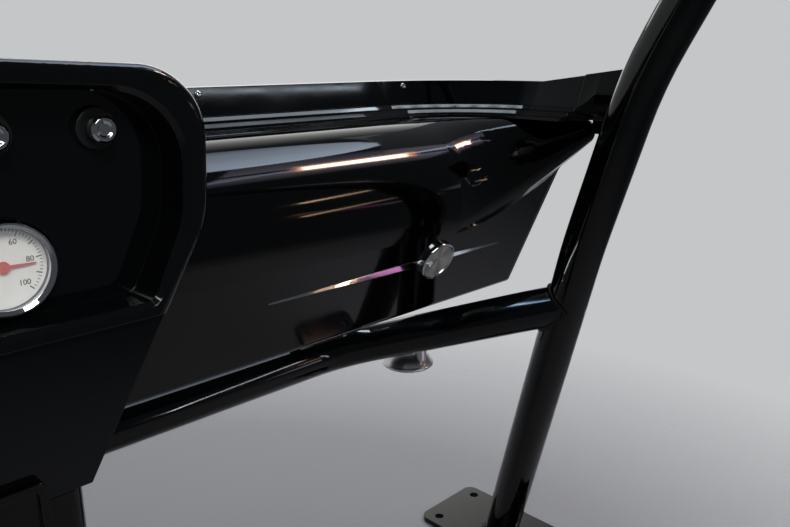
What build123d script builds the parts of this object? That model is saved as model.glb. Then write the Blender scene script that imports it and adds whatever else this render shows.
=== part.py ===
"""Classic car dashboard with its centre instrument pod, carried by a front roll hoop.

Frame: X to the passenger's side, Y forward to the windscreen, Z up.
The origin is on the floor, on the car's centreline, midway between the hoop's feet.
All sizes are in millimetres and all angles in degrees.
"""

import os
from math import asin, cos, radians, sin, tan

from build123d import *

os.makedirs("parts", exist_ok=True)

# Clearance between pieces that seat on each other
seat_gap = 0.3

# Roll hoop and dash bar: round steel tube, 1 5/8 in by 0.120 in wall
tube_diameter = 41.3
tube_wall = 3.05
foot_x = 584.0
foot_y = 4.0
knee_x = 533.0
knee_y = -118.0
knee_z = 400.0
sill_bend_y = -166.0
sill_bend_z = 560.0
header_y = -455.0
header_z = 1110.0
gentle_bend_radius = 400.0
header_bend_radius = 150.0

# Dash bar: straight under the dash, then bent back to meet the hoop
bar_y = 107.0
bar_z = 266.0
bar_straight_x = 412.0
bar_rise_x = 477.0
bar_rise_y = 28.0
bar_rise_z = 291.0
bar_joint_z = 337.0
bar_bend_radius = 85.0
bar_rise_radius = 200.0

# Base plates under the hoop's feet
plate_thickness = 6.0
plate_length_x = 100.0
plate_length_y = 190.0
plate_corner = 12.0
plate_hole_diameter = 11.0
plate_hole_spacing_x = 70.0
plate_hole_spacing_y = 150.0

# Dash panel: one pressed skin with a large rolled top and a face that is undercut
dash_wall = 2.0
dash_end_x = 612.0
dash_shoulder_x = dash_end_x - 52.0
dash_straight_x = dash_end_x - 142.0
dash_top_z = 515.0
dash_front_y = 122.0
dash_face_angle = 24.0
dash_roll_radius = 75.0
dash_low_radius = 10.0
dash_bottom_z = 316.0
dash_flange_y = 62.0
spear_y = 3.0
spear_z = 380.0

# Dash panel's end section, where the top shelf sweeps back to the pillar
end_top_y = -98.0
end_knee_z = 461.0
end_roll_radius = 13.5
knee_radius = 18.0
knee_above_spear = 25.0
top_lean = 0.6
shoulder_share = 0.42

# End plate that closes each end of the dash
end_plate_thickness = 3.0

# Windscreen rail: stepped garnish moulding along the top of the dash
rail_y = 100.0
rail_side_x = dash_end_x - 18.0
rail_corner_radius = 108.0
rail_back_y = -62.0
rail_side_y = -12.0
rail_rise_slope = 0.14
rail_top_outer = 22.0
rail_top_inner = 12.0
rail_top_height = 37.5
shoe_corner = 5.0
shoe_corner_height = 25.5
shoe_corner_y = -80.0
shoe_end_y = -112.0
shoe_wall = 2.5
shoe_skirt = 14.0
rail_steps = (
    # outward from the rail's line, height above the dash top
    (rail_top_outer, 0.0),
    (rail_top_outer, rail_top_height),
    (rail_top_inner, rail_top_height),
    (1.0, 12.5),
    (-1.0, 12.0),
    (-3.0, 8.5),
    (-14.0, 7.5),
    (-16.5, 4.0),
    (-28.5, 3.0),
    (-30.0, 0.0),
)
rail_hollow = (
    # the space inside the folded sheet, open below
    (rail_top_outer - 2.0, 0.0),
    (rail_top_outer - 2.0, rail_top_height - 2.0),
    (rail_top_inner + 1.3, rail_top_height - 2.0),
    (2.4, 10.3),
    (-2.2, 6.3),
    (-13.2, 5.4),
    (-15.0, 2.6),
    (-15.0, 0.0),
)

# Spear and badge on the passenger's face
spear_left_x = 247.0
spear_right_x = 557.0
badge_x = 454.5
spear_widest_x = 412.0
spear_half_height = 4.8
spear_depth = 3.6
spear_root_half_height = 3.2
spear_root_depth = 3.0
spear_tip_half_height = 0.8
spear_tip_depth = 0.9
badge_radius = 21.5
badge_height = 4.8
badge_rim = 2.6
badge_recess = 2.0
badge_disc_thickness = 0.8

# Instrument pod: a shield-shaped housing with a thick rounded lip round a sunk bay
pod_rim_y = -75.0
pod_back_y = 66.0
pod_top_z = 584.0
pod_corner_x = 157.0
pod_corner_z = pod_top_z - 7.0
pod_waist_x = 152.5
pod_waist_z = pod_top_z - 103.0
pod_low_x = 60.0
pod_low_z = pod_top_z - 259.0
pod_corner_radius = 44.0
pod_waist_radius = 70.0
pod_back_drop = 44.0
pod_back_inset = 16.0
pod_wall = 4.0
pod_lip = 19.0
pod_lip_radius = 7.0
pod_bay_corner = 26.0
pod_bay_depth = 30.0
pod_bay_z = pod_top_z - 152.0
pod_ledge_z = pod_top_z - 161.0
pod_face_thickness = 3.0
pod_apron_setback = 6.0

# Gauges: 2 1/16 in, white dials
gauge_x = 33.0
gauge_z = pod_top_z - 121.0
gauge_can_radius = 26.2
gauge_can_length = 42.0
gauge_stud_spacing = 22.0
gauge_stud_radius = 2.0
gauge_stud_length = 11.0
gauge_strap_clearance = 2.0
gauge_strap_thickness = 2.0
gauge_strap_width = 12.0

# Opening in the dash behind the pod, for the gauges
dash_window_half_width = 112.0
dash_window_bottom_z = gauge_z - 35.0
dash_window_top_z = gauge_z + 37.0
dash_window_corner = 12.0
gauge_bezel_radius = 29.0
gauge_bezel_height = 7.0
gauge_bezel_ring = 4.0
gauge_flange = 1.0
gauge_dial_height = -2.0
gauge_glass_height = 5.0
gauge_dial_thickness = 1.0
gauge_glass_thickness = 1.5
needle_length = 18.0
needle_width = 2.2
needle_hub_radius = 3.6
needle_turn = (205.0, 250.0)

# Pull knobs in dark collars along the top of the bay
knob_places = (-93.0, -33.0, 33.0, 93.0)
knob_z = gauge_z + 75.0
knob_collar_radius = 13.5
knob_collar_height = 5.0
knob_radius = 8.0
knob_length = 17.0
knob_shaft_radius = 3.0
knob_neck = 2.0
knob_flare = 3.0
knob_edge = 1.4
knob_dish = 1.0

# Console column from the pod down to the floor
column_half_width = 56.0
column_front_y = -6.0
column_wall = 4.0
column_corner = 10.0
column_flange = 16.0
column_screw_diameter = 6.5
column_top_z = pod_low_z - 3.0
console_panel_half_width = 31.0
console_panel_top_z = pod_low_z + 16.0
console_panel_bottom_z = console_panel_top_z - 79.0
console_panel_depth = 7.0
console_panel_rim = 5.0
console_panel_corner = 5.0
console_panel_recess = 3.0

# Footwell lamps hung under the dash
lamp_x = 484.0
lamp_y = 70.0
lamp_z = 238.0
lamp_radius = 29.0
lamp_height = 22.0
lamp_rim_width = 4.5
lamp_rim_height = 5.0
lamp_rim_bevel = 1.6
lamp_lens_thickness = 3.0
lamp_stem_radius = 6.0
lamp_stem_y = 50.0

# Brackets from the dash bar up to the dash's bottom flange
bracket_places = (-350.0, -120.0, 120.0, 350.0)
bracket_thickness = 5.0
bracket_tab_length = 24.0

# Steering column drop: hanger and clamp for a 2 in column
column_drop_x = -350.0
steering_radius = 25.4
steering_drop = 71.0
steering_clamp_wall = 5.0
steering_clamp_width = 28.0
steering_rake = 22.0
clamp_ear_length = 16.0
clamp_ear_height = 16.0
clamp_bolt_diameter = 8.0
hanger_width = 42.0


def finish(piece, name):
    """Label a finished sub-part and write its STEP file."""
    piece.part.label = name
    export_step(piece.part, f"parts/{name}.step")


def rail_section(side, y, points, foot_z):
    """Section of the rail's end at y, its second and third points raised along the face's slope."""
    rise = (rail_side_y - y) * rail_rise_slope
    face_slope_out = (rail_top_inner - 1.0) / (rail_top_height - 12.5)
    points = list(points)
    points[1] = (points[1][0], points[1][1] + rise)
    points[2] = (points[2][0] + rise * face_slope_out, points[2][1] + rise)
    plane = Plane(origin=(side * rail_side_x, y, foot_z), x_dir=(side, 0, 0), z_dir=(0, -side, 0))
    with BuildSketch(plane) as section:
        with BuildLine():
            Polyline(*points, close=True)
        make_face()
    return section.sketch.faces()[0]


def place_of_bar_joint():
    """The point on the hoop's leg axis at the bar joint's height."""
    share = (bar_joint_z) / knee_z
    return (
        foot_x + (knee_x - foot_x) * share,
        foot_y + (knee_y - foot_y) * share,
        bar_joint_z,
    )


hoop_half = (
    (foot_x, foot_y, 0.0),
    (knee_x, knee_y, knee_z),
    (knee_x, sill_bend_y, sill_bend_z),
    (knee_x, header_y, header_z),
)
hoop_route = [(-x, y, z) for x, y, z in hoop_half] + list(reversed(hoop_half))
hoop_radii = [gentle_bend_radius, gentle_bend_radius, header_bend_radius]
hoop_radii = hoop_radii + list(reversed(hoop_radii))

bar_half = (
    (bar_straight_x, bar_y, bar_z),
    (bar_rise_x, bar_rise_y, bar_rise_z),
    place_of_bar_joint(),
)
bar_route = [(-x, y, z) for x, y, z in reversed(bar_half)] + list(bar_half)
bar_radii = [bar_rise_radius, bar_bend_radius, bar_bend_radius, bar_rise_radius]

tube_radius = tube_diameter / 2

# Front roll hoop
with BuildPart() as hoop_envelope:
    with BuildLine() as hoop_path:
        FilletPolyline(*hoop_route, radius=hoop_radii)
    with BuildSketch(Plane(origin=hoop_path.line @ 0, z_dir=hoop_path.line % 0)):
        Circle(tube_radius)
    sweep()

with BuildPart() as hoop_bore:
    with BuildLine() as hoop_bore_path:
        FilletPolyline(*hoop_route, radius=hoop_radii)
    with BuildSketch(Plane(origin=hoop_bore_path.line @ 0, z_dir=hoop_bore_path.line % 0)):
        Circle(tube_radius - tube_wall)
    sweep()

floor_cut = Box(
    2 * foot_x + 4 * tube_diameter,
    4 * tube_diameter,
    4 * tube_diameter,
    align=(Align.CENTER, Align.CENTER, Align.MAX),
    mode=Mode.PRIVATE,
)

with BuildPart() as roll_hoop:
    add(hoop_envelope.part)
    add(hoop_bore.part, mode=Mode.SUBTRACT)
    add(floor_cut.moved(Location((0, 0, plate_thickness))), mode=Mode.SUBTRACT)
finish(roll_hoop, "roll_hoop")

# Dash bar, coped to the hoop's legs at both ends
with BuildPart() as cope:
    with BuildLine() as cope_path:
        FilletPolyline(*hoop_route, radius=hoop_radii)
    with BuildSketch(Plane(origin=cope_path.line @ 0, z_dir=cope_path.line % 0)):
        Circle(tube_radius + seat_gap)
    sweep()

with BuildPart() as bar_envelope:
    with BuildLine() as bar_path:
        FilletPolyline(*bar_route, radius=bar_radii)
    with BuildSketch(Plane(origin=bar_path.line @ 0, z_dir=bar_path.line % 0)):
        Circle(tube_radius)
    sweep()

with BuildPart() as dash_bar:
    with BuildLine() as bar_line:
        FilletPolyline(*bar_route, radius=bar_radii)
    with BuildSketch(Plane(origin=bar_line.line @ 0, z_dir=bar_line.line % 0)):
        Circle(tube_radius)
        Circle(tube_radius - tube_wall, mode=Mode.SUBTRACT)
    sweep()
    add(cope.part, mode=Mode.SUBTRACT)
finish(dash_bar, "dash_bar")

# Base plates
for side, name in ((-1, "base_plate_left"), (1, "base_plate_right")):
    with BuildPart() as base_plate:
        with BuildSketch(Plane.XY) as outline:
            with Locations((side * foot_x, 0)):
                RectangleRounded(plate_length_x, plate_length_y, plate_corner)
                with GridLocations(plate_hole_spacing_x, plate_hole_spacing_y, 2, 2):
                    Circle(plate_hole_diameter / 2, mode=Mode.SUBTRACT)
        extrude(amount=plate_thickness)
    finish(base_plate, name)


def skin_points(top_y, knee_y_z, wall):
    """Corners of the dash skin's section, set in by wall from its outer face."""
    bottom_y = spear_y + (spear_z - dash_bottom_z) * tan(radians(dash_face_angle))
    outer = [
        Vector(dash_front_y, dash_top_z),
        Vector(top_y, dash_top_z),
        Vector(*knee_y_z),
        Vector(bottom_y, dash_bottom_z),
        Vector(dash_flange_y, dash_bottom_z),
    ]
    if wall == 0:
        return outer
    moved = []
    for index, corner in enumerate(outer):
        before = outer[index] - outer[index - 1] if index > 0 else outer[1] - outer[0]
        after = outer[index + 1] - corner if index < len(outer) - 1 else before
        before, after = before.normalized(), after.normalized()
        normal_before = Vector(-before.Y, before.X) * -1
        normal_after = Vector(-after.Y, after.X) * -1
        mitre = normal_before + normal_after
        moved.append(corner - mitre * (wall / (1 + normal_before.dot(normal_after))))
    return moved


face_slope = tan(radians(dash_face_angle))
main_top_y = spear_y - (dash_top_z - spear_z) * face_slope - top_lean
main_knee_z = spear_z + knee_above_spear


def blended(share):
    """Top corner, knee and roll radius of the section part of the way to the dash's end."""
    top_y = main_top_y + (end_top_y - main_top_y) * share
    knee_z_here = main_knee_z + (end_knee_z - main_knee_z) * share
    knee_y_here = spear_y - (knee_z_here - spear_z) * face_slope
    radius = dash_roll_radius + (end_roll_radius - dash_roll_radius) * share
    return top_y, (knee_y_here, knee_z_here), radius


def section_plane(x):
    """Plane across the dash at x, with its own x along Y and its own y along Z."""
    return Plane(origin=(x, 0, 0), x_dir=(0, 1, 0), z_dir=(1, 0, 0))


def skin_line(share, wall):
    """Open outline of the dash skin, set in by wall from its outer face."""
    top_y, knee, radius = blended(share)
    radii = [radius - wall, knee_radius - wall, dash_low_radius - wall]
    return FilletPolyline(*skin_points(top_y, knee, wall), radius=radii)


def skin_section(x, share):
    """Closed section of the dash skin at x."""
    with BuildSketch(section_plane(x)) as section:
        with BuildLine():
            outer = skin_line(share, 0)
            inner = skin_line(share, dash_wall)
            Line(outer @ 0, inner @ 0)
            Line(outer @ 1, inner @ 1)
        make_face()
    return section.sketch.faces()[0]


def full_section(x, share, grow=0.0):
    """Section of everything inside the dash skin's outer face, closed at the front."""
    with BuildSketch(section_plane(x)) as section:
        with BuildLine():
            outer = skin_line(share, -grow)
            Line(outer @ 1, outer @ 0)
        make_face()
    return section.sketch.faces()[0]


# Dash panel
dash_stations = (
    # x of the section, share of the way from the main section to the end section
    (dash_straight_x, 0.0),
    (dash_shoulder_x, shoulder_share),
    (dash_end_x, 1.0),
)
middle_section = skin_section(-dash_straight_x, 0.0)
end_sections = [
    [skin_section(side * x, share) for x, share in dash_stations] for side in (-1, 1)
]
with BuildPart() as dash_panel:
    extrude(middle_section, amount=2 * dash_straight_x)
    for sections in end_sections:
        loft(sections)
    with BuildSketch(Plane.XZ):
        with Locations((0, (dash_window_bottom_z + dash_window_top_z) / 2)):
            RectangleRounded(
                2 * dash_window_half_width,
                dash_window_top_z - dash_window_bottom_z,
                dash_window_corner,
            )
    extrude(amount=-pod_rim_y, both=True, mode=Mode.SUBTRACT)
finish(dash_panel, "dash_panel")

# Everything inside the dash's outer face, to fit the pod round it
pod_seat_section = full_section(-dash_straight_x, 0.0, seat_gap)
with BuildPart() as dash_envelope:
    extrude(pod_seat_section, amount=2 * dash_straight_x)
    with Locations((0, dash_flange_y, dash_top_z)):
        Box(
            2 * dash_straight_x,
            dash_front_y - dash_flange_y,
            dash_top_z - dash_bottom_z,
            align=(Align.CENTER, Align.MIN, Align.MAX),
        )

# End plates
for side, name in ((-1, "dash_end_left"), (1, "dash_end_right")):
    end_face = full_section(side * (dash_end_x + seat_gap), 1.0)
    with BuildPart() as dash_end:
        extrude(end_face, amount=side * end_plate_thickness)
    finish(dash_end, name)

# Windscreen rail
with BuildPart() as windscreen_rail:
    with BuildLine(Plane.XY.offset(dash_top_z)) as rail_path:
        FilletPolyline(
            (-rail_side_x, rail_side_y),
            (-rail_side_x, rail_y),
            (rail_side_x, rail_y),
            (rail_side_x, rail_side_y),
            radius=rail_corner_radius,
        )
    with BuildSketch(Plane(origin=rail_path.line @ 0, x_dir=(-1, 0, 0), z_dir=(0, 1, 0))):
        with BuildLine():
            Polyline(*rail_steps, close=True)
        make_face()
        with BuildLine():
            Polyline(*rail_hollow, close=True)
        make_face(mode=Mode.SUBTRACT)
    sweep()
    for side in (-1, 1):
        loft([rail_section(side, y, rail_steps, dash_top_z) for y in (rail_side_y, rail_back_y)], ruled=True)
        loft(
            [rail_section(side, y, rail_hollow, dash_top_z) for y in (rail_side_y, rail_back_y)],
            ruled=True,
            mode=Mode.SUBTRACT,
        )
finish(windscreen_rail, "windscreen_rail")

# Shoes that end the rail at the pillars: the steps run out and an upright corner takes over
shoe_start_y = rail_back_y - seat_gap
shoe_foot_z = dash_top_z + top_lean + seat_gap
shoe_low_points = (
    (shoe_corner + 1.5, shoe_corner_height + 1.5),
    (shoe_corner, shoe_corner_height),
    (shoe_corner, 3.5),
    (shoe_corner - 3.0, 2.5),
    (shoe_corner - 4.0, 1.5),
    (shoe_corner - 6.0, 1.0),
    (shoe_corner - 6.5, 0.0),
)


def shoe_points(share):
    """Points of the shoe's section, from the rail's own steps to the upright corner."""
    low = [
        (a[0] + (b[0] - a[0]) * share, a[1] + (b[1] - a[1]) * share)
        for a, b in zip(rail_steps[3:], shoe_low_points)
    ]
    return list(rail_steps[:3]) + low


with BuildPart() as pillar_shoes:
    for side in (-1, 1):
        stations = [
            (shoe_start_y + (shoe_corner_y - shoe_start_y) * step / 4, (step / 4) ** 1.6) for step in range(5)
        ]
        stations.append((shoe_end_y, 1.0))
        for near, far_one in zip(stations, stations[1:]):
            loft(
                [rail_section(side, y, shoe_points(share), shoe_foot_z) for y, share in (near, far_one)],
                ruled=True,
            )
        skirt_x = side * (rail_side_x + (rail_top_outer + shoe_corner) / 2)
        with Locations((skirt_x, (shoe_corner_y + shoe_end_y) / 2, shoe_foot_z)):
            Box(
                rail_top_outer - shoe_corner,
                shoe_corner_y - shoe_end_y,
                shoe_skirt,
                align=(Align.CENTER, Align.CENTER, Align.MAX),
            )
        with Locations((skirt_x, (shoe_corner_y + shoe_end_y) / 2, shoe_foot_z - shoe_skirt)):
            Box(
                rail_top_outer - shoe_corner - 2 * shoe_wall,
                shoe_corner_y - shoe_end_y - 2 * shoe_wall,
                shoe_corner_height + shoe_skirt,
                align=(Align.CENTER, Align.CENTER, Align.MIN),
                mode=Mode.SUBTRACT,
            )
finish(pillar_shoes, "pillar_shoes")

# Spear and badge on the passenger's face
face_out = Vector(0, -1, -face_slope).normalized()


def face_plane(x, height=0.0):
    """Plane on the dash's face at the spear's line, x along the dash, y up the face."""
    origin = Vector(x, spear_y, spear_z) + face_out * height
    return Plane(origin=origin, x_dir=(1, 0, 0), z_dir=face_out)


def spear_station(x, half_height, depth):
    """Roof-shaped section of the spear at x."""
    up_face = face_plane(x).y_dir
    with BuildSketch(Plane(origin=(x, spear_y, spear_z), x_dir=up_face, z_dir=(1, 0, 0))) as roof:
        with BuildLine():
            Polyline((-half_height, 0), (half_height, 0), (0, depth), close=True)
        make_face()
    return roof.sketch.faces()[0]


root_offset = badge_radius + seat_gap
spear_parts = (
    # name, then x, half height and depth at each station
    ("spear_left", (
        (spear_left_x, spear_tip_half_height, spear_tip_depth),
        (spear_widest_x, spear_half_height, spear_depth),
        (badge_x - root_offset, spear_root_half_height, spear_root_depth),
    )),
    ("spear_right", (
        (badge_x + root_offset, spear_root_half_height, spear_root_depth),
        (spear_right_x, spear_tip_half_height, spear_tip_depth),
    )),
)
for name, stations in spear_parts:
    roofs = [spear_station(*station) for station in stations]
    with BuildPart() as spear:
        loft(roofs, ruled=True)
    finish(spear, name)

with BuildPart() as badge_housing:
    with BuildSketch(face_plane(badge_x)):
        Circle(badge_radius)
    extrude(amount=badge_height)
    with BuildSketch(face_plane(badge_x, badge_height - badge_recess)):
        Circle(badge_radius - badge_rim)
    extrude(amount=badge_recess, mode=Mode.SUBTRACT)
    rim_edges = badge_housing.faces().filter_by(GeomType.PLANE).sort_by(
        Axis(origin=(0, 0, 0), direction=face_out)
    )[-1].edges()
    fillet(rim_edges, radius=badge_rim * 0.45)
finish(badge_housing, "badge_housing")

badge_floor = badge_height - badge_recess
with BuildPart() as badge_disc:
    with BuildSketch(face_plane(badge_x, badge_floor)):
        Circle(badge_radius - badge_rim - seat_gap)
    extrude(amount=badge_disc_thickness)
finish(badge_disc, "badge_disc")


# Instrument pod
def bay_plane(x, z, height=0.0):
    """Plane on the bay's floor, facing the cabin, x across the car, y up."""
    origin = (x, pod_rim_y + pod_bay_depth - height, z)
    return Plane(origin=origin, x_dir=(1, 0, 0), z_dir=(0, -1, 0))


def shield_face(y, inset=0.0, top_drop=0.0, bottom_z=None):
    """The pod's shield outline on a plane across the car at y."""
    top = pod_top_z - top_drop - inset
    corner_z = pod_corner_z - top_drop - inset
    low_z = pod_low_z if bottom_z is None else bottom_z
    corners = [
        (0, top),
        (pod_corner_x - inset, corner_z),
        (pod_waist_x - inset, pod_waist_z - top_drop),
        (pod_low_x - inset * 0.2, low_z),
    ]
    left = [(-x, z) for x, z in reversed(corners[1:])]
    radii = [pod_corner_radius, pod_waist_radius]
    with BuildSketch(Plane(origin=(0, y, 0), x_dir=(1, 0, 0), z_dir=(0, -1, 0))) as shield:
        with BuildLine():
            FilletPolyline(*corners, radius=radii)
            FilletPolyline((0, top), *reversed(left), radius=radii)
            Line(corners[-1], (-corners[-1][0], corners[-1][1]))
        make_face()
    return shield.sketch.faces()[0]


def below(z, y_thickness):
    """Block that covers everything below z, y_thickness either side of its middle."""
    return Box(
        4 * pod_corner_x,
        2 * y_thickness,
        z,
        align=(Align.CENTER, Align.CENTER, Align.MIN),
        mode=Mode.PRIVATE,
    )


pod_outside = [shield_face(pod_rim_y), shield_face(pod_back_y, pod_back_inset, pod_back_drop)]
cavity_y = pod_rim_y + pod_apron_setback + pod_wall
cavity_share = (cavity_y - pod_rim_y) / (pod_back_y - pod_rim_y)
pod_inside = [
    shield_face(cavity_y, pod_wall + pod_back_inset * cavity_share, pod_back_drop * cavity_share),
    shield_face(pod_back_y, pod_wall + pod_back_inset, pod_back_drop),
]
bay_face = shield_face(pod_rim_y, pod_lip)
bay_wall_face = shield_face(pod_rim_y, pod_lip - pod_wall)
with BuildPart() as pod_bay:
    extrude(bay_face, amount=-pod_bay_depth)
    add(below(pod_bay_z, 2 * pod_bay_depth).moved(Location((0, pod_rim_y, 0))), mode=Mode.SUBTRACT)
    fillet(pod_bay.edges().filter_by(Axis.Y).group_by(Axis.Z)[0], radius=pod_bay_corner * 0.4)

with BuildPart() as pod_hollow:
    loft(pod_inside)
    with BuildPart(mode=Mode.SUBTRACT) as bay_block:
        extrude(bay_wall_face, amount=-pod_bay_depth - pod_face_thickness)
        add(
            below(pod_bay_z - pod_wall, 2 * pod_bay_depth).moved(Location((0, pod_rim_y, 0))),
            mode=Mode.SUBTRACT,
        )

with BuildPart() as pod_housing:
    loft(pod_outside)
    rim = pod_housing.faces().sort_by(Axis.Y)[0]
    fillet(rim.edges().sort_by(Axis.Z)[1:], radius=pod_lip_radius)
    add(pod_bay.part, mode=Mode.SUBTRACT)
    mouth = pod_housing.faces().sort_by(Axis.Y)[0].inner_wires()[0]
    chamfer(mouth.edges(), length=pod_lip_radius * 0.5)
    add(below(pod_ledge_z, pod_apron_setback).moved(Location((0, pod_rim_y, 0))), mode=Mode.SUBTRACT)
    add(pod_hollow.part, mode=Mode.SUBTRACT)
    with BuildSketch(bay_plane(0, gauge_z)):
        with Locations((-gauge_x, 0), (gauge_x, 0)):
            Circle(gauge_can_radius + seat_gap)
        with Locations(*[(x, knob_z - gauge_z) for x in knob_places]):
            Circle(knob_shaft_radius + seat_gap)
    extrude(amount=-2 * pod_face_thickness, mode=Mode.SUBTRACT)
    add(dash_envelope.part, mode=Mode.SUBTRACT)
finish(pod_housing, "pod_housing")

# Gauges
for side, place in ((-1, "left"), (1, "right")):
    x = side * gauge_x
    with BuildPart() as gauge_can:
        with BuildSketch(bay_plane(x, gauge_z, gauge_flange + seat_gap)):
            Circle(gauge_bezel_radius - 1)
        extrude(amount=-gauge_flange)
        with BuildSketch(bay_plane(x, gauge_z, seat_gap)):
            Circle(gauge_can_radius)
        extrude(amount=-gauge_can_length)
        with BuildSketch(bay_plane(x, gauge_z, gauge_flange + seat_gap)):
            Circle(gauge_bezel_radius - gauge_bezel_ring)
        extrude(amount=gauge_dial_height - gauge_flange - seat_gap, mode=Mode.SUBTRACT)
        with BuildSketch(bay_plane(x, gauge_z, -gauge_can_length)):
            with Locations((-gauge_stud_spacing / 2, 0), (gauge_stud_spacing / 2, 0)):
                Circle(gauge_stud_radius)
        extrude(amount=-gauge_stud_length)
    finish(gauge_can, f"gauge_can_{place}")

    with BuildPart() as gauge_dial:
        with BuildSketch(bay_plane(x, gauge_z, gauge_dial_height)):
            Circle(gauge_bezel_radius - gauge_bezel_ring - seat_gap)
        extrude(amount=gauge_dial_thickness)
    finish(gauge_dial, f"gauge_dial_{place}")

    needle_height = gauge_dial_height + gauge_dial_thickness
    with BuildPart() as gauge_needle:
        with BuildSketch(bay_plane(x, gauge_z, needle_height)):
            Circle(needle_hub_radius)
        extrude(amount=2.0)
        with BuildSketch(bay_plane(x, gauge_z, needle_height + 1.0)):
            with Locations(Rotation(0, 0, needle_turn[0] if side < 0 else needle_turn[1])):
                with BuildLine():
                    Polyline(
                        (0, needle_width / 2), (needle_length, needle_width / 6),
                        (needle_length, -needle_width / 6), (0, -needle_width / 2), close=True,
                    )
                make_face()
        extrude(amount=0.8)
    finish(gauge_needle, f"gauge_needle_{place}")

    bezel_base = gauge_flange + 2 * seat_gap
    bezel_top = bezel_base + gauge_bezel_height
    bezel_inner = gauge_bezel_radius - gauge_bezel_ring
    axis_plane = bay_plane(x, gauge_z)
    with BuildPart() as gauge_bezel:
        with BuildSketch(Plane(origin=axis_plane.origin, x_dir=(1, 0, 0), z_dir=(0, 0, -1))) as ring:
            with BuildLine():
                Polyline(
                    (bezel_inner, bezel_base), (gauge_bezel_radius, bezel_base),
                    (gauge_bezel_radius, bezel_top - 2.5), (gauge_bezel_radius - 2.0, bezel_top),
                    (gauge_bezel_radius - 3.0, bezel_top), (bezel_inner - 1.2, bezel_top - 1.2),
                    (bezel_inner - 1.2, gauge_glass_height + gauge_glass_thickness + 0.2),
                    (bezel_inner, gauge_glass_height + gauge_glass_thickness + 0.2), close=True,
                )
            make_face()
        revolve(axis=Axis(axis_plane.origin, (0, 1, 0)))
    finish(gauge_bezel, f"gauge_bezel_{place}")

    with BuildPart() as gauge_glass:
        with BuildSketch(bay_plane(x, gauge_z, gauge_glass_height)):
            Circle(bezel_inner - 0.1)
        extrude(amount=gauge_glass_thickness)
    finish(gauge_glass, f"gauge_glass_{place}")

# Straps that hold the gauges against the bay's floor
strap_reach = gauge_can_radius + gauge_strap_clearance
with BuildPart() as gauge_straps:
    for x in (-gauge_x, gauge_x):
        with BuildSketch(Plane(origin=bay_plane(x, gauge_z).origin, x_dir=(1, 0, 0), z_dir=(0, 0, -1))):
            with BuildLine():
                Polyline(
                    (-strap_reach - gauge_strap_thickness, -pod_face_thickness - seat_gap),
                    (-strap_reach - gauge_strap_thickness, -gauge_can_length - gauge_strap_thickness - seat_gap),
                    (strap_reach + gauge_strap_thickness, -gauge_can_length - gauge_strap_thickness - seat_gap),
                    (strap_reach + gauge_strap_thickness, -pod_face_thickness - seat_gap),
                    (strap_reach, -pod_face_thickness - seat_gap),
                    (strap_reach, -gauge_can_length - seat_gap),
                    (-strap_reach, -gauge_can_length - seat_gap),
                    (-strap_reach, -pod_face_thickness - seat_gap),
                    close=True,
                )
            make_face()
        extrude(amount=gauge_strap_width / 2, both=True)
        with BuildSketch(bay_plane(x, gauge_z, -gauge_can_length)):
            with Locations((-gauge_stud_spacing / 2, 0), (gauge_stud_spacing / 2, 0)):
                Circle(gauge_stud_radius + seat_gap)
        extrude(amount=-2 * gauge_strap_thickness, mode=Mode.SUBTRACT)
finish(gauge_straps, "gauge_straps")

# Pull knobs
with BuildPart() as knob_collars:
    for x in knob_places:
        with BuildSketch(bay_plane(x, knob_z)):
            Circle(knob_collar_radius)
            Circle(knob_shaft_radius + seat_gap, mode=Mode.SUBTRACT)
        extrude(amount=knob_collar_height, taper=14)
finish(knob_collars, "knob_collars")

knob_foot = knob_collar_height + seat_gap
knob_profile = (
    # radius, height above the bay's floor
    (0, -pod_face_thickness),
    (knob_shaft_radius, -pod_face_thickness),
    (knob_shaft_radius, knob_foot),
    (knob_radius * 0.72, knob_foot),
    (knob_radius * 0.62, knob_foot + knob_neck),
    (knob_radius, knob_foot + knob_neck + knob_flare),
    (knob_radius, knob_length - knob_edge),
    (knob_radius - knob_edge, knob_length),
    (knob_radius * 0.62, knob_length),
    (knob_radius * 0.45, knob_length - knob_dish),
    (0, knob_length - knob_dish),
)
with BuildPart() as pull_knobs:
    for x in knob_places:
        knob_seat = bay_plane(x, knob_z)
        with BuildSketch(Plane(origin=knob_seat.origin, x_dir=(1, 0, 0), z_dir=(0, 0, -1))):
            with BuildLine():
                Polyline(*[(radius, height) for radius, height in knob_profile], close=True)
            make_face()
        revolve(axis=Axis(knob_seat.origin, (0, 1, 0)))
finish(pull_knobs, "pull_knobs")

# Console column
column_back_y = pod_rim_y + pod_apron_setback
with BuildPart() as console_column:
    with BuildSketch():
        with Locations((0, (column_back_y + column_front_y) / 2)):
            RectangleRounded(2 * column_half_width, column_front_y - column_back_y, column_corner)
            RectangleRounded(
                2 * (column_half_width - column_wall),
                column_front_y - column_back_y - 2 * column_wall,
                column_corner - column_wall,
                mode=Mode.SUBTRACT,
            )
    extrude(amount=pod_low_z - seat_gap)
    with BuildSketch():
        with Locations((0, (column_back_y + column_front_y) / 2)):
            RectangleRounded(
                2 * (column_half_width + column_flange),
                column_front_y - column_back_y + 2 * column_flange,
                column_corner,
            )
            RectangleRounded(
                2 * (column_half_width - column_wall),
                column_front_y - column_back_y - 2 * column_wall,
                column_corner - column_wall,
                mode=Mode.SUBTRACT,
            )
            with GridLocations(
                2 * column_half_width + column_flange, column_front_y - column_back_y + column_flange, 2, 2
            ):
                Circle(column_screw_diameter / 2, mode=Mode.SUBTRACT)
    extrude(amount=column_wall)
finish(console_column, "console_column")

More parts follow.
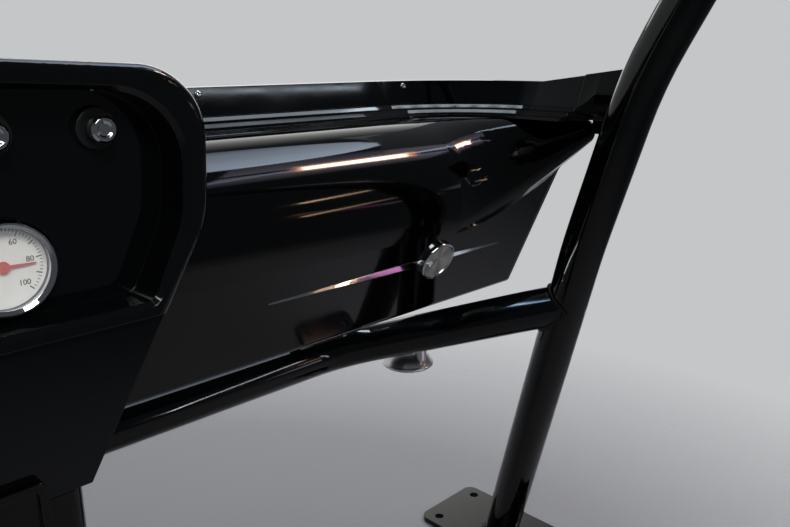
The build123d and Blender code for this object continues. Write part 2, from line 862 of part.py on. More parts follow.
with BuildPart() as console_panel:
    panel_plane = Plane(
        origin=(0, column_back_y, (console_panel_top_z + console_panel_bottom_z) / 2),
        x_dir=(1, 0, 0),
        z_dir=(0, -1, 0),
    )
    panel_height = console_panel_top_z - console_panel_bottom_z
    with BuildSketch(panel_plane):
        RectangleRounded(2 * console_panel_half_width, panel_height, console_panel_corner)
    extrude(amount=console_panel_depth)
    with BuildSketch(panel_plane.offset(console_panel_depth - console_panel_recess)):
        RectangleRounded(
            2 * (console_panel_half_width - console_panel_rim),
            panel_height - 2 * console_panel_rim,
            console_panel_corner - 2.0,
        )
    extrude(amount=console_panel_recess, mode=Mode.SUBTRACT)
finish(console_panel, "console_panel")

# Footwell lamps: the domed back is part of a ball
dome_edge = lamp_radius - lamp_rim_bevel
dome_rise = lamp_height - lamp_rim_height
dome_radius = (dome_edge**2 + dome_rise**2) / (2 * dome_rise)
dome_turn = asin(dome_edge / dome_radius)
for side, place in ((-1, "left"), (1, "right")):
    lamp_plane = Plane(origin=(side * lamp_x, lamp_y, lamp_z), z_dir=(0, 0, 1))
    with BuildPart() as lamp_body:
        with BuildSketch(Plane(origin=lamp_plane.origin, x_dir=(1, 0, 0), z_dir=(0, -1, 0))):
            with BuildLine():
                Polyline(
                    (0, lamp_height),
                    (0, lamp_lens_thickness + 2 * seat_gap),
                    (lamp_radius - lamp_rim_width, lamp_lens_thickness + 2 * seat_gap),
                    (lamp_radius - lamp_rim_width, 0),
                    (lamp_radius - lamp_rim_bevel, 0),
                    (lamp_radius, lamp_rim_bevel),
                    (lamp_radius, lamp_rim_height - lamp_rim_bevel),
                    (dome_edge, lamp_rim_height),
                )
                ThreePointArc(
                    (dome_edge, lamp_rim_height),
                    (dome_radius * sin(dome_turn / 2), lamp_height - dome_radius * (1 - cos(dome_turn / 2))),
                    (0, lamp_height),
                )
            make_face()
        revolve(axis=Axis(lamp_plane.origin, (0, 0, 1)))
        with BuildSketch(Plane(origin=(side * lamp_x, lamp_stem_y, lamp_z + lamp_height / 2))):
            Circle(lamp_stem_radius)
        extrude(amount=bar_rise_z - lamp_z - lamp_height / 2)
        add(bar_envelope.part, mode=Mode.SUBTRACT)
    finish(lamp_body, f"lamp_body_{place}")
    with BuildPart() as lamp_lens:
        with BuildSketch(lamp_plane.offset(seat_gap)):
            Circle(lamp_radius - lamp_rim_width - seat_gap)
        extrude(amount=lamp_lens_thickness)
    finish(lamp_lens, f"lamp_lens_{place}")

# Brackets between the dash bar and the dash's bottom flange
flange_start_y = spear_y + (spear_z - dash_bottom_z) * face_slope + dash_low_radius
with BuildPart() as dash_brackets:
    for x in bracket_places:
        with BuildSketch(section_plane(x - bracket_thickness / 2)):
            with BuildLine():
                Polyline(
                    (flange_start_y, dash_bottom_z - bracket_thickness),
                    (flange_start_y, dash_bottom_z),
                    (dash_flange_y, dash_bottom_z),
                    (bar_y + tube_radius * 0.9, bar_z + tube_radius),
                    (bar_y + tube_radius * 0.5, bar_z),
                    (bar_y - tube_radius * 0.2, bar_z + tube_radius * 0.8),
                    close=True,
                )
            make_face()
        extrude(amount=bracket_thickness)
        with Locations((x, (flange_start_y + dash_flange_y) / 2, dash_bottom_z)):
            Box(
                bracket_tab_length,
                dash_flange_y - flange_start_y,
                bracket_thickness,
                align=(Align.CENTER, Align.CENTER, Align.MAX),
            )
    add(bar_envelope.part, mode=Mode.SUBTRACT)
finish(dash_brackets, "dash_brackets")

# Steering column drop
column_axis = Vector(0, -1, tan(radians(steering_rake))).normalized()
hanger_up = Vector(0, tan(radians(steering_rake)), 1).normalized()
clamp_centre = Vector(column_drop_x, bar_y, bar_z) - hanger_up * steering_drop
clamp_plane = Plane(
    origin=clamp_centre - column_axis * (steering_clamp_width / 2),
    x_dir=(1, 0, 0),
    z_dir=column_axis,
)
clamp_outer = steering_radius + steering_clamp_wall
ear_middle_x = clamp_outer + clamp_ear_length / 2
far = 8 * clamp_outer
for name, half in (("column_hanger", 1), ("column_clamp", -1)):
    with BuildPart() as clamp_half:
        with BuildSketch(clamp_plane):
            Circle(clamp_outer)
            Rectangle(2 * (clamp_outer + clamp_ear_length), clamp_ear_height)
            if half > 0:
                with Locations((0, steering_drop / 2)):
                    Rectangle(hanger_width, steering_drop)
            Circle(steering_radius, mode=Mode.SUBTRACT)
            with Locations((0, -half * (far - seat_gap) / 2)):
                Rectangle(far, far, mode=Mode.SUBTRACT)
        extrude(amount=steering_clamp_width)
        if half > 0:
            add(bar_envelope.part, mode=Mode.SUBTRACT)
        with BuildSketch(Plane(clamp_centre, x_dir=(1, 0, 0), z_dir=clamp_plane.y_dir)):
            with Locations((-ear_middle_x, 0), (ear_middle_x, 0)):
                Circle(clamp_bolt_diameter / 2)
        extrude(amount=clamp_ear_height, both=True, mode=Mode.SUBTRACT)
    finish(clamp_half, name)
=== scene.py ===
# %% [markdown]
# # A gloss black dashboard on a roll hoop
#
# The object is the front of an old car's cabin: a pressed steel dashboard with a big rolled top, a stepped
# moulding under the windscreen, a shield-shaped instrument pod, and the steel tube hoop that carries them.
# The solid parts come from the CAD model and stay exactly where they are. This lesson gives them their paint,
# chrome and glass, and adds the small things that a metalworker would see: screws, nuts, weld beads and dial
# marks.

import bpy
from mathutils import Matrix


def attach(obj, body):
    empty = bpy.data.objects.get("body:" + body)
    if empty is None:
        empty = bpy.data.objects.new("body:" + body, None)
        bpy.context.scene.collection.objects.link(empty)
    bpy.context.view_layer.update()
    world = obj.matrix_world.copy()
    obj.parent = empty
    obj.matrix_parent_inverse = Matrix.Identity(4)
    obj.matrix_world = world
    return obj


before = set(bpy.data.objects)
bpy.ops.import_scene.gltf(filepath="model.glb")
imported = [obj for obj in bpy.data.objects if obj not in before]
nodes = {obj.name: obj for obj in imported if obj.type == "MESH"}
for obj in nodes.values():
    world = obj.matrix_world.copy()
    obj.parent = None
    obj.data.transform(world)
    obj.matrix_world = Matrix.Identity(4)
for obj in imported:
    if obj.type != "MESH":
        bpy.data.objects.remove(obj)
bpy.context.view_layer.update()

# %% Tools used in every cell
import math

import bmesh
import bpy
from mathutils import Matrix, Vector

MM = 0.001
MICRON = 1e-6
UP, DOWN, FORWARD = Vector((0, 0, 1)), Vector((0, 0, -1)), Vector((0, 1, 0))
scene = bpy.context.scene

# %% [markdown]
# ## The camera
#
# The photograph was taken from the driver's seat, looking to the right and a little down. A short lens close
# to the dash gives the strong perspective that makes the long dash shrink towards its far end. A camera could
# be turned by eye until the picture fits, but here its place and angles were worked out from the tube's known
# diameter, so it is set first and never moved.

# %% The camera at the driver's eye
EYE = Vector((-0.107, -0.500, 0.580))
HEADING = math.radians(45.0)
PITCH = math.radians(15.2)

lens = bpy.data.cameras.new("driver_view")
lens.lens = 35.0
lens.sensor_width = 36.0
lens.clip_start = 0.01
lens.clip_end = 60.0
camera = bpy.data.objects.new("driver_view", lens)
scene.collection.objects.link(camera)
looking = Vector((
    math.sin(HEADING) * math.cos(PITCH), math.cos(HEADING) * math.cos(PITCH), -math.sin(PITCH)
))
camera.location = EYE
camera.rotation_euler = looking.to_track_quat("-Z", "Y").to_euler()
scene.camera = camera
print("camera looks along", [round(v, 3) for v in looking])

# %% [markdown]
# ## Colours and nodes
#
# Paint makers give colours as seen on a screen, in sRGB. Cycles works in linear light, so one function turns
# a hex colour into linear numbers. A second small function adds a node of any kind with its settings and its
# links, so that each finish below reads as a short recipe. Where it is given a node, it links that node's
# first output. The patterns read Object coordinates, which are metres on the piece itself, so a pattern's
# scale is one over its real size.

# %% One colour function and one node function
def linear(hex_text):
    """An sRGB hex colour as linear red, green, blue and full alpha."""
    values = [int(hex_text[i:i + 2], 16) / 255 for i in (1, 3, 5)]
    return (*[v / 12.92 if v <= 0.04045 else ((v + 0.055) / 1.055) ** 2.4 for v in values], 1.0)


def add_node(tree, kind, inputs=None, **settings):
    """A node with its settings, and each input set to a value or linked to a socket or a node."""
    node = tree.nodes.new(kind)
    for name, value in settings.items():
        setattr(node, name, value)
    for key, value in (inputs or {}).items():
        if isinstance(value, bpy.types.Node):
            value = value.outputs[0]
        if isinstance(value, bpy.types.NodeSocket):
            tree.links.new(value, node.inputs[key])
        else:
            node.inputs[key].default_value = value
    return node


def new_finish(name, **surface):
    """A material with one Principled shader, its plain values set on its own sockets."""
    finish = bpy.data.materials.new(name)
    finish.use_nodes = True
    tree = finish.node_tree
    tree.nodes.clear()
    shader = add_node(tree, "ShaderNodeBsdfPrincipled", surface)
    add_node(tree, "ShaderNodeOutputMaterial", {"Surface": shader})
    place = add_node(tree, "ShaderNodeTexCoord").outputs["Object"]
    return finish, tree, shader, place


# %% [markdown]
# ## Gloss black enamel
#
# The dash was sprayed with black enamel, flatted and polished. Up close such paint is never a perfect mirror:
# it has orange peel, a dimpled skin with dimples about 3 mm across and only microns deep, and long slow waves
# left by the sanding block. Both could be modelled, but they are far too shallow, so they are bumps, which
# make reflections of lamps wander as they do on the real thing. Fine dust and polishing haze change the
# roughness in soft patches. Paint also never leaves a knife edge: it flows to a small radius on every fold,
# and that radius catches a thin line of light. The Bevel node rounds the shading at the edges by that amount.

# %% Black paint in four grades
HAZE_PATCH_MM = 55
EDGE_SAMPLES = 6


def black_paint(name, colour, peel_mm, peel_um, wave_mm, wave_um, polish, edge_mm):
    """Polished enamel: soft edges, slow waves, dimples, and a haze that comes and goes."""
    finish, tree, shader, place = new_finish(name, **{
        "Base Color": linear(colour), "IOR": 1.42, "Specular IOR Level": 0.5,
    })
    normal = add_node(tree, "ShaderNodeBevel", {"Radius": edge_mm * MM}, samples=EDGE_SAMPLES)
    for size_mm, depth_um, detail, roughness in (
        # the long waves, then the dimples on top of them
        (wave_mm, wave_um, 1.0, 0.4),
        (peel_mm, peel_um, 2.0, 0.5),
    ):
        noise = add_node(tree, "ShaderNodeTexNoise", {
            "Vector": place, "Scale": 1 / (size_mm * MM), "Detail": detail, "Roughness": roughness,
        })
        normal = add_node(tree, "ShaderNodeBump", {
            "Height": noise, "Strength": 1.0, "Distance": depth_um * MICRON, "Normal": normal,
        })
    tree.links.new(normal.outputs[0], shader.inputs["Normal"])
    patches = add_node(tree, "ShaderNodeTexNoise", {
        "Vector": place, "Scale": 1 / (HAZE_PATCH_MM * MM), "Detail": 4.0, "Roughness": 0.6,
    })
    haze = add_node(tree, "ShaderNodeMapRange", {
        "Value": patches, "From Min": 0.35, "From Max": 0.75, "To Min": polish[0], "To Max": polish[1],
    })
    tree.links.new(haze.outputs[0], shader.inputs["Roughness"])
    return finish


sheet_enamel = black_paint(
    "gloss_black_enamel_on_steel", "#040507",
    peel_mm=3.0, peel_um=4.0, wave_mm=140.0, wave_um=60.0, polish=(0.035, 0.085), edge_mm=0.9
)
rail_enamel = black_paint(
    "gloss_black_enamel_on_rail", "#040507",
    peel_mm=3.0, peel_um=3.0, wave_mm=140.0, wave_um=40.0, polish=(0.035, 0.085), edge_mm=0.7
)
tube_enamel = black_paint(
    "gloss_black_enamel_on_tube", "#050607",
    peel_mm=2.2, peel_um=6.0, wave_mm=90.0, wave_um=30.0, polish=(0.05, 0.11), edge_mm=0.7
)
moulded_enamel = black_paint(
    "gloss_black_paint_on_moulding", "#040506",
    peel_mm=3.4, peel_um=5.0, wave_mm=110.0, wave_um=70.0, polish=(0.05, 0.12), edge_mm=1.0
)
print("paints made:", sheet_enamel.name, rail_enamel.name, tube_enamel.name, moulded_enamel.name)

# %% [markdown]
# ## Chrome and other bright metal
#
# Chrome plate on polished brass or steel is the brightest metal on the dash. It is nearly a mirror, with a
# faint haze of polishing marks, and its colour is a cold grey a little under white. The lamps under the dash
# have satin chrome, brushed before it was plated, which spreads its highlights. Zinc plate on screws and nuts
# is a duller, warmer grey. A picture of scratches could give the haze, but a noise in patches of a known size
# needs no picture and never repeats. The clamp on the steering drop is machined aluminium, softer and greyer,
# with tool marks about half a millimetre apart. Real ones are finer still, and these are as coarse as they
# need to be to show.

# %% Chrome, satin chrome and zinc plate
def plated(name, colour, smooth, dull, patch_mm, edge_mm=0.4):
    """Bright metal with soft edges, whose polish changes in soft patches."""
    finish, tree, shader, place = new_finish(name, **{"Base Color": linear(colour), "Metallic": 1.0})
    patches = add_node(tree, "ShaderNodeTexNoise", {
        "Vector": place, "Scale": 1 / (patch_mm * MM), "Detail": 5.0, "Roughness": 0.65,
    })
    polish = add_node(tree, "ShaderNodeMapRange", {
        "Value": patches, "From Min": 0.3, "From Max": 0.75, "To Min": smooth, "To Max": dull,
    })
    tree.links.new(polish.outputs[0], shader.inputs["Roughness"])
    edges = add_node(tree, "ShaderNodeBevel", {"Radius": edge_mm * MM}, samples=EDGE_SAMPLES)
    tree.links.new(edges.outputs[0], shader.inputs["Normal"])
    return finish


chrome = plated("bright_chrome_plate", "#D5D8DC", smooth=0.025, dull=0.09, patch_mm=9.0)
satin_chrome = plated("satin_chrome_plate", "#D2D0D3", smooth=0.26, dull=0.36, patch_mm=12.0)
zinc_steel = plated("zinc_plated_steel", "#A9A89F", smooth=0.22, dull=0.42, patch_mm=4.0)

# %% Machined aluminium
MARK_LENGTH_MM = 25.0
MARKS_PER_MM = 1.8


def milled_aluminium():
    """Machined aluminium: cutter lines run across the clamp."""
    finish, tree, shader, place = new_finish("machined_aluminium", **{
        "Base Color": linear("#A3A5A8"), "Metallic": 1.0,
    })
    across = MARKS_PER_MM / MM
    stretched = add_node(tree, "ShaderNodeMapping", {
        "Vector": place, "Scale": (1 / (MARK_LENGTH_MM * MM), across, across),
    })
    lines = add_node(tree, "ShaderNodeTexNoise", {"Vector": stretched, "Scale": 1.0, "Detail": 3.0})
    polish = add_node(tree, "ShaderNodeMapRange", {
        "Value": lines, "From Min": 0.3, "From Max": 0.7, "To Min": 0.28, "To Max": 0.46,
    })
    tree.links.new(polish.outputs[0], shader.inputs["Roughness"])
    bump = add_node(tree, "ShaderNodeBump", {"Height": lines, "Strength": 0.35, "Distance": 0.02 * MM})
    tree.links.new(bump.outputs[0], shader.inputs["Normal"])
    return finish


aluminium = milled_aluminium()
print("metals made:", chrome.name, satin_chrome.name, zinc_steel.name, aluminium.name)

# %% [markdown]
# ## Badge, dials and small plastics
#
# The round badge on the dash's face holds a satin silver disc under a clear dome. It is left plain apart from
# rays cut on the engraver's lathe. Real rays are much finer: these are ten degrees apart, as coarse as they
# need to be to show. Turned metal also shines in some directions and stays dark in others, and that sheen is
# painted into the disc's colour: four broad wedge shapes round the middle are painted shade. The dials are
# printed in matt white and black, the pointers enamelled red, and each pull knob stands in a satin black
# collar of moulded plastic with a fine grain. The gauge cases are anodised black, which stays dull, and the
# lamps' lenses are frosted, so that they scatter the light. The real grain of all these is too fine for a
# pixel, so it is drawn about a millimetre wide. The gauge glasses and the badge's dome are thin, so they are
# covers that light passes straight through: glass that bends light would darken what lies under it.

# %% Engraved silver for the badge
# places and sizes in millimetres here and below are those of the CAD model
FACE_TILT = math.radians(24.0)
BADGE_MIDDLE = Vector((454.5, 3.0, 380.0)) * MM
RAY_COUNT, PAINTED_SHADE_WEDGE_COUNT = 36.0, 4.0


def engraved_silver():
    """Fine rays, and broad wedge shapes of painted shade round the badge's middle, under a satin lacquer."""
    finish, tree, shader, place = new_finish("engraved_silver_disc", **{"Metallic": 0.55})
    centred = add_node(tree, "ShaderNodeVectorMath", {
        0: place, 1: tuple(BADGE_MIDDLE),
    }, operation="SUBTRACT")
    flat = add_node(tree, "ShaderNodeVectorRotate", {
        "Vector": centred, "Axis": (1.0, 0.0, 0.0), "Angle": FACE_TILT,
    }, rotation_type="AXIS_ANGLE")
    parts = add_node(tree, "ShaderNodeSeparateXYZ", {0: flat}).outputs
    angle = add_node(tree, "ShaderNodeMath", {0: parts["Z"], 1: parts["X"]}, operation="ARCTAN2")
    rays, painted_shade_wedges = [
        add_node(tree, "ShaderNodeMath", {
            0: add_node(tree, "ShaderNodeMath", {0: angle, 1: count}, operation="MULTIPLY"),
        }, operation="SINE")
        for count in (RAY_COUNT, PAINTED_SHADE_WEDGE_COUNT)
    ]
    ray_share = add_node(tree, "ShaderNodeMapRange", {"Value": rays, "From Min": -1.0, "From Max": 1.0})
    silver = add_node(tree, "ShaderNodeMix", {
        "Factor": ray_share, "A": linear("#A5A09E"), "B": linear("#DAD6D2"),
    }, data_type="RGBA")
    # painted shade: four darker wedge shapes are mixed into the silver where turned metal would stay dark
    painted_shade_share = add_node(tree, "ShaderNodeMapRange", {
        "Value": painted_shade_wedges, "From Min": -1.0, "From Max": 1.0, "To Max": 0.55,
    })
    turned = add_node(tree, "ShaderNodeMix", {
        "Factor": painted_shade_share, "A": silver.outputs["Result"], "B": linear("#4E4A4A"),
    }, data_type="RGBA")
    tree.links.new(turned.outputs["Result"], shader.inputs["Base Color"])
    polish = add_node(tree, "ShaderNodeMapRange", {
        "Value": rays, "From Min": -1.0, "From Max": 1.0, "To Min": 0.42, "To Max": 0.26,
    })
    tree.links.new(polish.outputs[0], shader.inputs["Roughness"])
    bump = add_node(tree, "ShaderNodeBump", {"Height": rays, "Strength": 0.5, "Distance": 0.03 * MM})
    tree.links.new(bump.outputs[0], shader.inputs["Normal"])
    return finish


badge_silver = engraved_silver()


# %% Print, plastics and enamel
def grained(name, colour, smooth, dull, grain_mm, grain_um):
    """Moulded plastic, print or anodised metal with a fine even grain."""
    finish, tree, shader, place = new_finish(name, **{"Base Color": linear(colour), "IOR": 1.49})
    grain = add_node(tree, "ShaderNodeTexNoise", {
        "Vector": place, "Scale": 1 / (grain_mm * MM), "Detail": 3.0,
    })
    polish = add_node(tree, "ShaderNodeMapRange", {
        "Value": grain, "From Min": 0.3, "From Max": 0.7, "To Min": smooth, "To Max": dull,
    })
    tree.links.new(polish.outputs[0], shader.inputs["Roughness"])
    bump = add_node(tree, "ShaderNodeBump", {
        "Height": grain, "Strength": 0.6, "Distance": grain_um * MICRON,
    })
    tree.links.new(bump.outputs[0], shader.inputs["Normal"])
    return finish


dial_white, dial_black, pointer_red, collar_black, case_black, lens_white = [
    grained(name, colour, smooth, dull, grain_mm, grain_um)
    for name, colour, smooth, dull, grain_mm, grain_um in (
        ("matt_white_dial_print", "#F1F0EB", 0.5, 0.62, 0.8, 4.0),
        ("black_dial_print", "#141414", 0.45, 0.6, 0.8, 4.0),
        ("red_pointer_enamel", "#C4281B", 0.25, 0.35, 1.5, 3.0),
        ("satin_black_moulded_collar", "#0E0F10", 0.3, 0.42, 0.9, 12.0),
        ("black_anodised_case", "#17181A", 0.3, 0.45, 1.2, 6.0),
        ("frosted_lamp_lens", "#D9D6D1", 0.25, 0.4, 1.6, 10.0),
    )
]


# %% Clear covers
RIPPLE_MM = 14


def clear_cover(name, alpha):
    """A thin clear cover: nearly all the light passes through, and the rest is a sharp reflection."""
    finish, tree, shader, place = new_finish(name, **{
        "Base Color": linear("#F4F7F7"), "IOR": 1.49, "Alpha": alpha,
    })
    ripple = add_node(tree, "ShaderNodeTexNoise", {"Vector": place, "Scale": 1 / (RIPPLE_MM * MM)})
    polish = add_node(tree, "ShaderNodeMapRange", {
        "Value": ripple, "From Min": 0.3, "From Max": 0.7, "To Max": 0.03,
    })
    tree.links.new(polish.outputs[0], shader.inputs["Roughness"])
    return finish


gauge_glass = clear_cover("clear_gauge_glass", 0.10)
dome_glass = clear_cover("clear_badge_dome", 0.12)
print("materials in the file:", len(bpy.data.materials))

# %% [markdown]
# ## Dressing the CAD parts
#
# The CAD nodes keep their shapes and the smooth normals of the true curves, so that tubes and rolled edges
# read as curved. Each one is given the finish of the real piece. They could be dressed one by one, but a
# table is easier to check: it matches the start of a node's name, and the longest match wins.

# %% Finishes on the CAD nodes
FINISH_OF = {
    "roll_hoop": tube_enamel, "dash_bar": tube_enamel, "base_plate": tube_enamel,
    "dash_panel": sheet_enamel, "dash_end": sheet_enamel, "windscreen_rail": rail_enamel,
    "dash_brackets": sheet_enamel, "pillar_shoes": rail_enamel,
    "pod_housing": moulded_enamel, "console_column": moulded_enamel, "console_panel": moulded_enamel,
    "spear": chrome, "badge_housing": chrome, "badge_disc": badge_silver,
    "gauge_can": case_black, "gauge_dial": dial_white, "gauge_needle": pointer_red,
    "gauge_bezel": chrome, "gauge_glass": gauge_glass, "gauge_straps": zinc_steel,
    "knob_collars": collar_black, "pull_knobs": chrome,
    "lamp_body": satin_chrome, "lamp_lens": lens_white,
    "column_hanger": aluminium, "column_clamp": aluminium,
}
for name, node in nodes.items():
    kinds = [start for start in FINISH_OF if name.startswith(start)]
    node.data.materials.clear()
    node.data.materials.append(FINISH_OF[max(kinds, key=len)])
print("CAD nodes dressed:", len(nodes))

# %% [markdown]
# ## Screws along the windscreen moulding
#
# The stepped moulding is held by small oval-head screws with a cross recess. Each could be modelled in its
# place, but they repeat, so one head is turned from a profile and Geometry Nodes copies it to each place. The
# heads are turned by chance, as a fitter leaves them, from a fixed seed so that every run gives the same
# turns.

# %% Helpers that turn mesh code into a finished piece
def make_piece(name, shape, finish, smooth=True):
    """A mesh object from a bmesh, with its faces pointing outwards."""
    bmesh.ops.remove_doubles(shape, verts=shape.verts, dist=MICRON)
    bmesh.ops.recalc_face_normals(shape, faces=shape.faces)
    mesh = bpy.data.meshes.new(name)
    shape.to_mesh(mesh)
    shape.free()
    for face in mesh.polygons:
        face.use_smooth = smooth
    mesh.materials.append(finish)
    piece = bpy.data.objects.new(name, mesh)
    scene.collection.objects.link(piece)
    return piece


def turned_shape(profile, steps=32):
    """A bmesh made by turning a profile of (radius, height) round the Z axis."""
    shape = bmesh.new()
    turns = [2 * math.pi * i / steps for i in range(steps)]
    rings = []
    for radius, height in profile:
        if radius == 0.0:
            rings.append([shape.verts.new((0, 0, height))])
        else:
            rings.append([
                shape.verts.new((radius * math.cos(turn), radius * math.sin(turn), height)) for turn in turns
            ])
    for low, high in zip(rings, rings[1:]):
        for i in range(steps):
            j = (i + 1) % steps
            corners = [low[i % len(low)], low[j % len(low)], high[j % len(high)], high[i % len(high)]]
            shape.faces.new([v for k, v in enumerate(corners) if v not in corners[:k]])
    return shape


# %% One oval-head screw
HEAD_PROFILE = (
    # shares of the head's radius: outward from its middle, upward from its seat
    (0.0, 0.20), (0.18, 0.22), (0.30, 0.50), (0.62, 0.46), (0.92, 0.30), (1.0, 0.14), (1.0, 0.0), (0.0, 0.0),
)
RECESS_INNER, RECESS_OUTER = 0.25, 0.35
CROSS_ARM, CROSS_WAIST = 0.7, 0.25


def screw_head(name, radius, finish):
    """An oval head, its seat at height zero. The ring at its recess is pulled into a cross."""
    shape = turned_shape([(radius * out, radius * up) for out, up in HEAD_PROFILE], steps=16)
    for vert in shape.verts:
        if radius * RECESS_INNER < math.hypot(vert.co.x, vert.co.y) < radius * RECESS_OUTER:
            wave = math.cos(4 * math.atan2(vert.co.y, vert.co.x))
            reach = 1.0 + CROSS_ARM * max(0.0, wave) - CROSS_WAIST * max(0.0, -wave)
            vert.co.x *= reach
            vert.co.y *= reach
    return make_piece(name, shape, finish)


# %% The start and the end of a Geometry Nodes tree
def new_tree(name, inputs, result):
    """A tree with its named inputs, and the sockets that they arrive at."""
    tree = bpy.data.node_groups.new(name, "GeometryNodeTree")
    for label, kind, default in inputs:
        socket = tree.interface.new_socket(label, in_out="INPUT", socket_type="NodeSocket" + kind)
        if default is not None:
            socket.default_value = default
    tree.interface.new_socket(result, in_out="OUTPUT", socket_type="NodeSocketGeometry")
    return tree, add_node(tree, "NodeGroupInput").outputs


def end_tree(tree, copies, finish):
    """Ends a tree with its copies made real faces, in one finish."""
    real = add_node(tree, "GeometryNodeRealizeInstances", {0: copies})
    finished = add_node(tree, "GeometryNodeSetMaterial", {"Geometry": real, "Material": finish})
    add_node(tree, "NodeGroupOutput", {0: finished})


# %% Geometry Nodes that set one fixing at every point
def fixing_tree():
    """A tree that copies one fixing to each point of a mesh and turns it by chance about its own axis."""
    tree, given = new_tree("set_fixings", (
        ("Places", "Geometry", None),
        ("Fixing", "Object", None),
        ("Finish", "Material", None),
        ("Chance turn", "Float", math.pi),
        ("Seed", "Int", 3),
    ), "Fixings")
    fixing = add_node(tree, "GeometryNodeObjectInfo", {"Object": given["Fixing"]})
    outward = add_node(tree, "GeometryNodeInputNamedAttribute", {"Name": "outward"}, data_type="FLOAT_VECTOR")
    stand = add_node(tree, "FunctionNodeAlignRotationToVector", {"Vector": outward}, axis="Z")
    chance = add_node(tree, "FunctionNodeRandomValue", {"Max": given["Chance turn"], "Seed": given["Seed"]})
    spin = add_node(tree, "FunctionNodeAxisAngleToRotation", {
        "Axis": tuple(UP), "Angle": chance.outputs["Value"],
    })
    turned = add_node(tree, "FunctionNodeRotateRotation", {
        "Rotation": stand, "Rotate By": spin,
    }, rotation_space="LOCAL")
    copies = add_node(tree, "GeometryNodeInstanceOnPoints", {
        "Points": given["Places"], "Instance": fixing.outputs["Geometry"], "Rotation": turned,
    })
    end_tree(tree, copies, given["Finish"])
    return tree


FIXING_TREE = fixing_tree()


def run_tree(name, start, tree, values, smooth=True):
    """Runs a Geometry Nodes tree on a start mesh and keeps the plain mesh it makes, on the one body."""
    host = bpy.data.objects.new(name + "_host", start)
    scene.collection.objects.link(host)
    modifier = host.modifiers.new("build", "NODES")
    modifier.node_group = tree
    identifiers = {
        item.name: item.identifier for item in tree.interface.items_tree if item.in_out == "INPUT"
    }
    for key, value in values.items():
        modifier[identifiers[key]] = value
    seen = host.evaluated_get(bpy.context.evaluated_depsgraph_get())
    mesh = bpy.data.meshes.new_from_object(seen)
    bpy.data.objects.remove(host)
    mesh.name = name
    piece = bpy.data.objects.new(name, mesh)
    scene.collection.objects.link(piece)
    for face in mesh.polygons:
        face.use_smooth = smooth
    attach(piece, "root")
    print(name, "faces:", len(mesh.polygons))


def set_fixings(name, fixing, places, finish, seed, smooth=True):
    """Copies one fixing to a list of (place, outward direction)."""
    start = bpy.data.meshes.new(name + "_places")
    start.from_pydata([place for place, _ in places], [], [])
    outward = start.attributes.new("outward", "FLOAT_VECTOR", "POINT")
    outward.data.foreach_set("vector", [
        part for _, direction in places for part in Vector(direction).normalized()
    ])
    run_tree(name, start, FIXING_TREE, {"Fixing": fixing, "Finish": finish, "Seed": seed}, smooth)
    bpy.data.objects.remove(fixing)


# %% Screws along the moulding
RAIL_SIDE_X, RAIL_CORNER_R, RAIL_Y = 594.0, 108.0, 100.0
RAIL_SCREW_X = (-512.0, -258.0, 0.0, 258.0, 512.0)
RAIL_SCREW_Z = 546.5
RAIL_SCREW_OUT = 9.4
RAIL_SCREW_LIFT = 0.1
RAIL_FACE_SLOPE = math.atan2(11.0, 25.0)


def rail_place(x):
    """Where a screw sits on the moulding's tall face at x, and which way its head faces."""
    middle_x = RAIL_SIDE_X - RAIL_CORNER_R
    reach = RAIL_CORNER_R + RAIL_SCREW_OUT
    turn = math.asin(max(0.0, abs(x) - middle_x) / reach)
    y = RAIL_Y - RAIL_CORNER_R + reach * math.cos(turn)
    level = Vector((-math.sin(turn) * math.copysign(1.0, x), -math.cos(turn), 0.0))
    facing = level * math.cos(RAIL_FACE_SLOPE) + Vector((0.0, 0.0, math.sin(RAIL_FACE_SLOPE)))
    return Vector((x, y, RAIL_SCREW_Z)) * MM + facing * RAIL_SCREW_LIFT * MM, facing


set_fixings(
    "rail_screws", screw_head("one_rail_screw", 3.6 * MM, chrome),
    [rail_place(x) for x in RAIL_SCREW_X], chrome, seed=3
)

# %% [markdown]
# ## Fixings at the foot, under the dash and on the clamp
#
# The console column stands on a flange with four screws. Small screws from below hold the dash to its tabs on
# the bar. The clamp on the steering drop is pulled together by two bolts, and a strap behind each gauge is
# held by two nuts. A nut could be a plain cylinder at this size, but its flat faces catch the light, so it is
# a hexagon with a chamfered top and the end of its bolt standing a little proud. The same Geometry Nodes tree
# sets them all.

# %% A hexagon nut with the end of its bolt
CHAMFER_START, CHAMFER_TOP = 0.84, 0.88
BOLT_ROOT, BOLT_TIP, BOLT_CHAMFER_MM = 0.5, 0.8, 0.5


def hexagon_nut(name, flats_mm, height_mm, bolt_mm, proud_mm, finish):
    """A nut, its seat at height zero, and the bolt's end standing proud of it."""
    radius = flats_mm / math.sqrt(3) * MM
    top = height_mm * MM
    bolt_r = bolt_mm / 2 * MM
    shape = turned_shape([
        (0.0, 0.0), (radius, 0.0), (radius, top * CHAMFER_START), (radius * CHAMFER_TOP, top), (0.0, top),
    ], steps=6)
    bolt = turned_shape([
        (0.0, top * BOLT_ROOT), (bolt_r, top * BOLT_ROOT),
        (bolt_r, top + (proud_mm - BOLT_CHAMFER_MM) * MM),
        (bolt_r * BOLT_TIP, top + proud_mm * MM), (0.0, top + proud_mm * MM),
    ], steps=12)
    end = bpy.data.meshes.new("bolt_end")
    bolt.to_mesh(end)
    bolt.free()
    shape.from_mesh(end)
    bpy.data.meshes.remove(end)
    return make_piece(name, shape, finish, smooth=False)


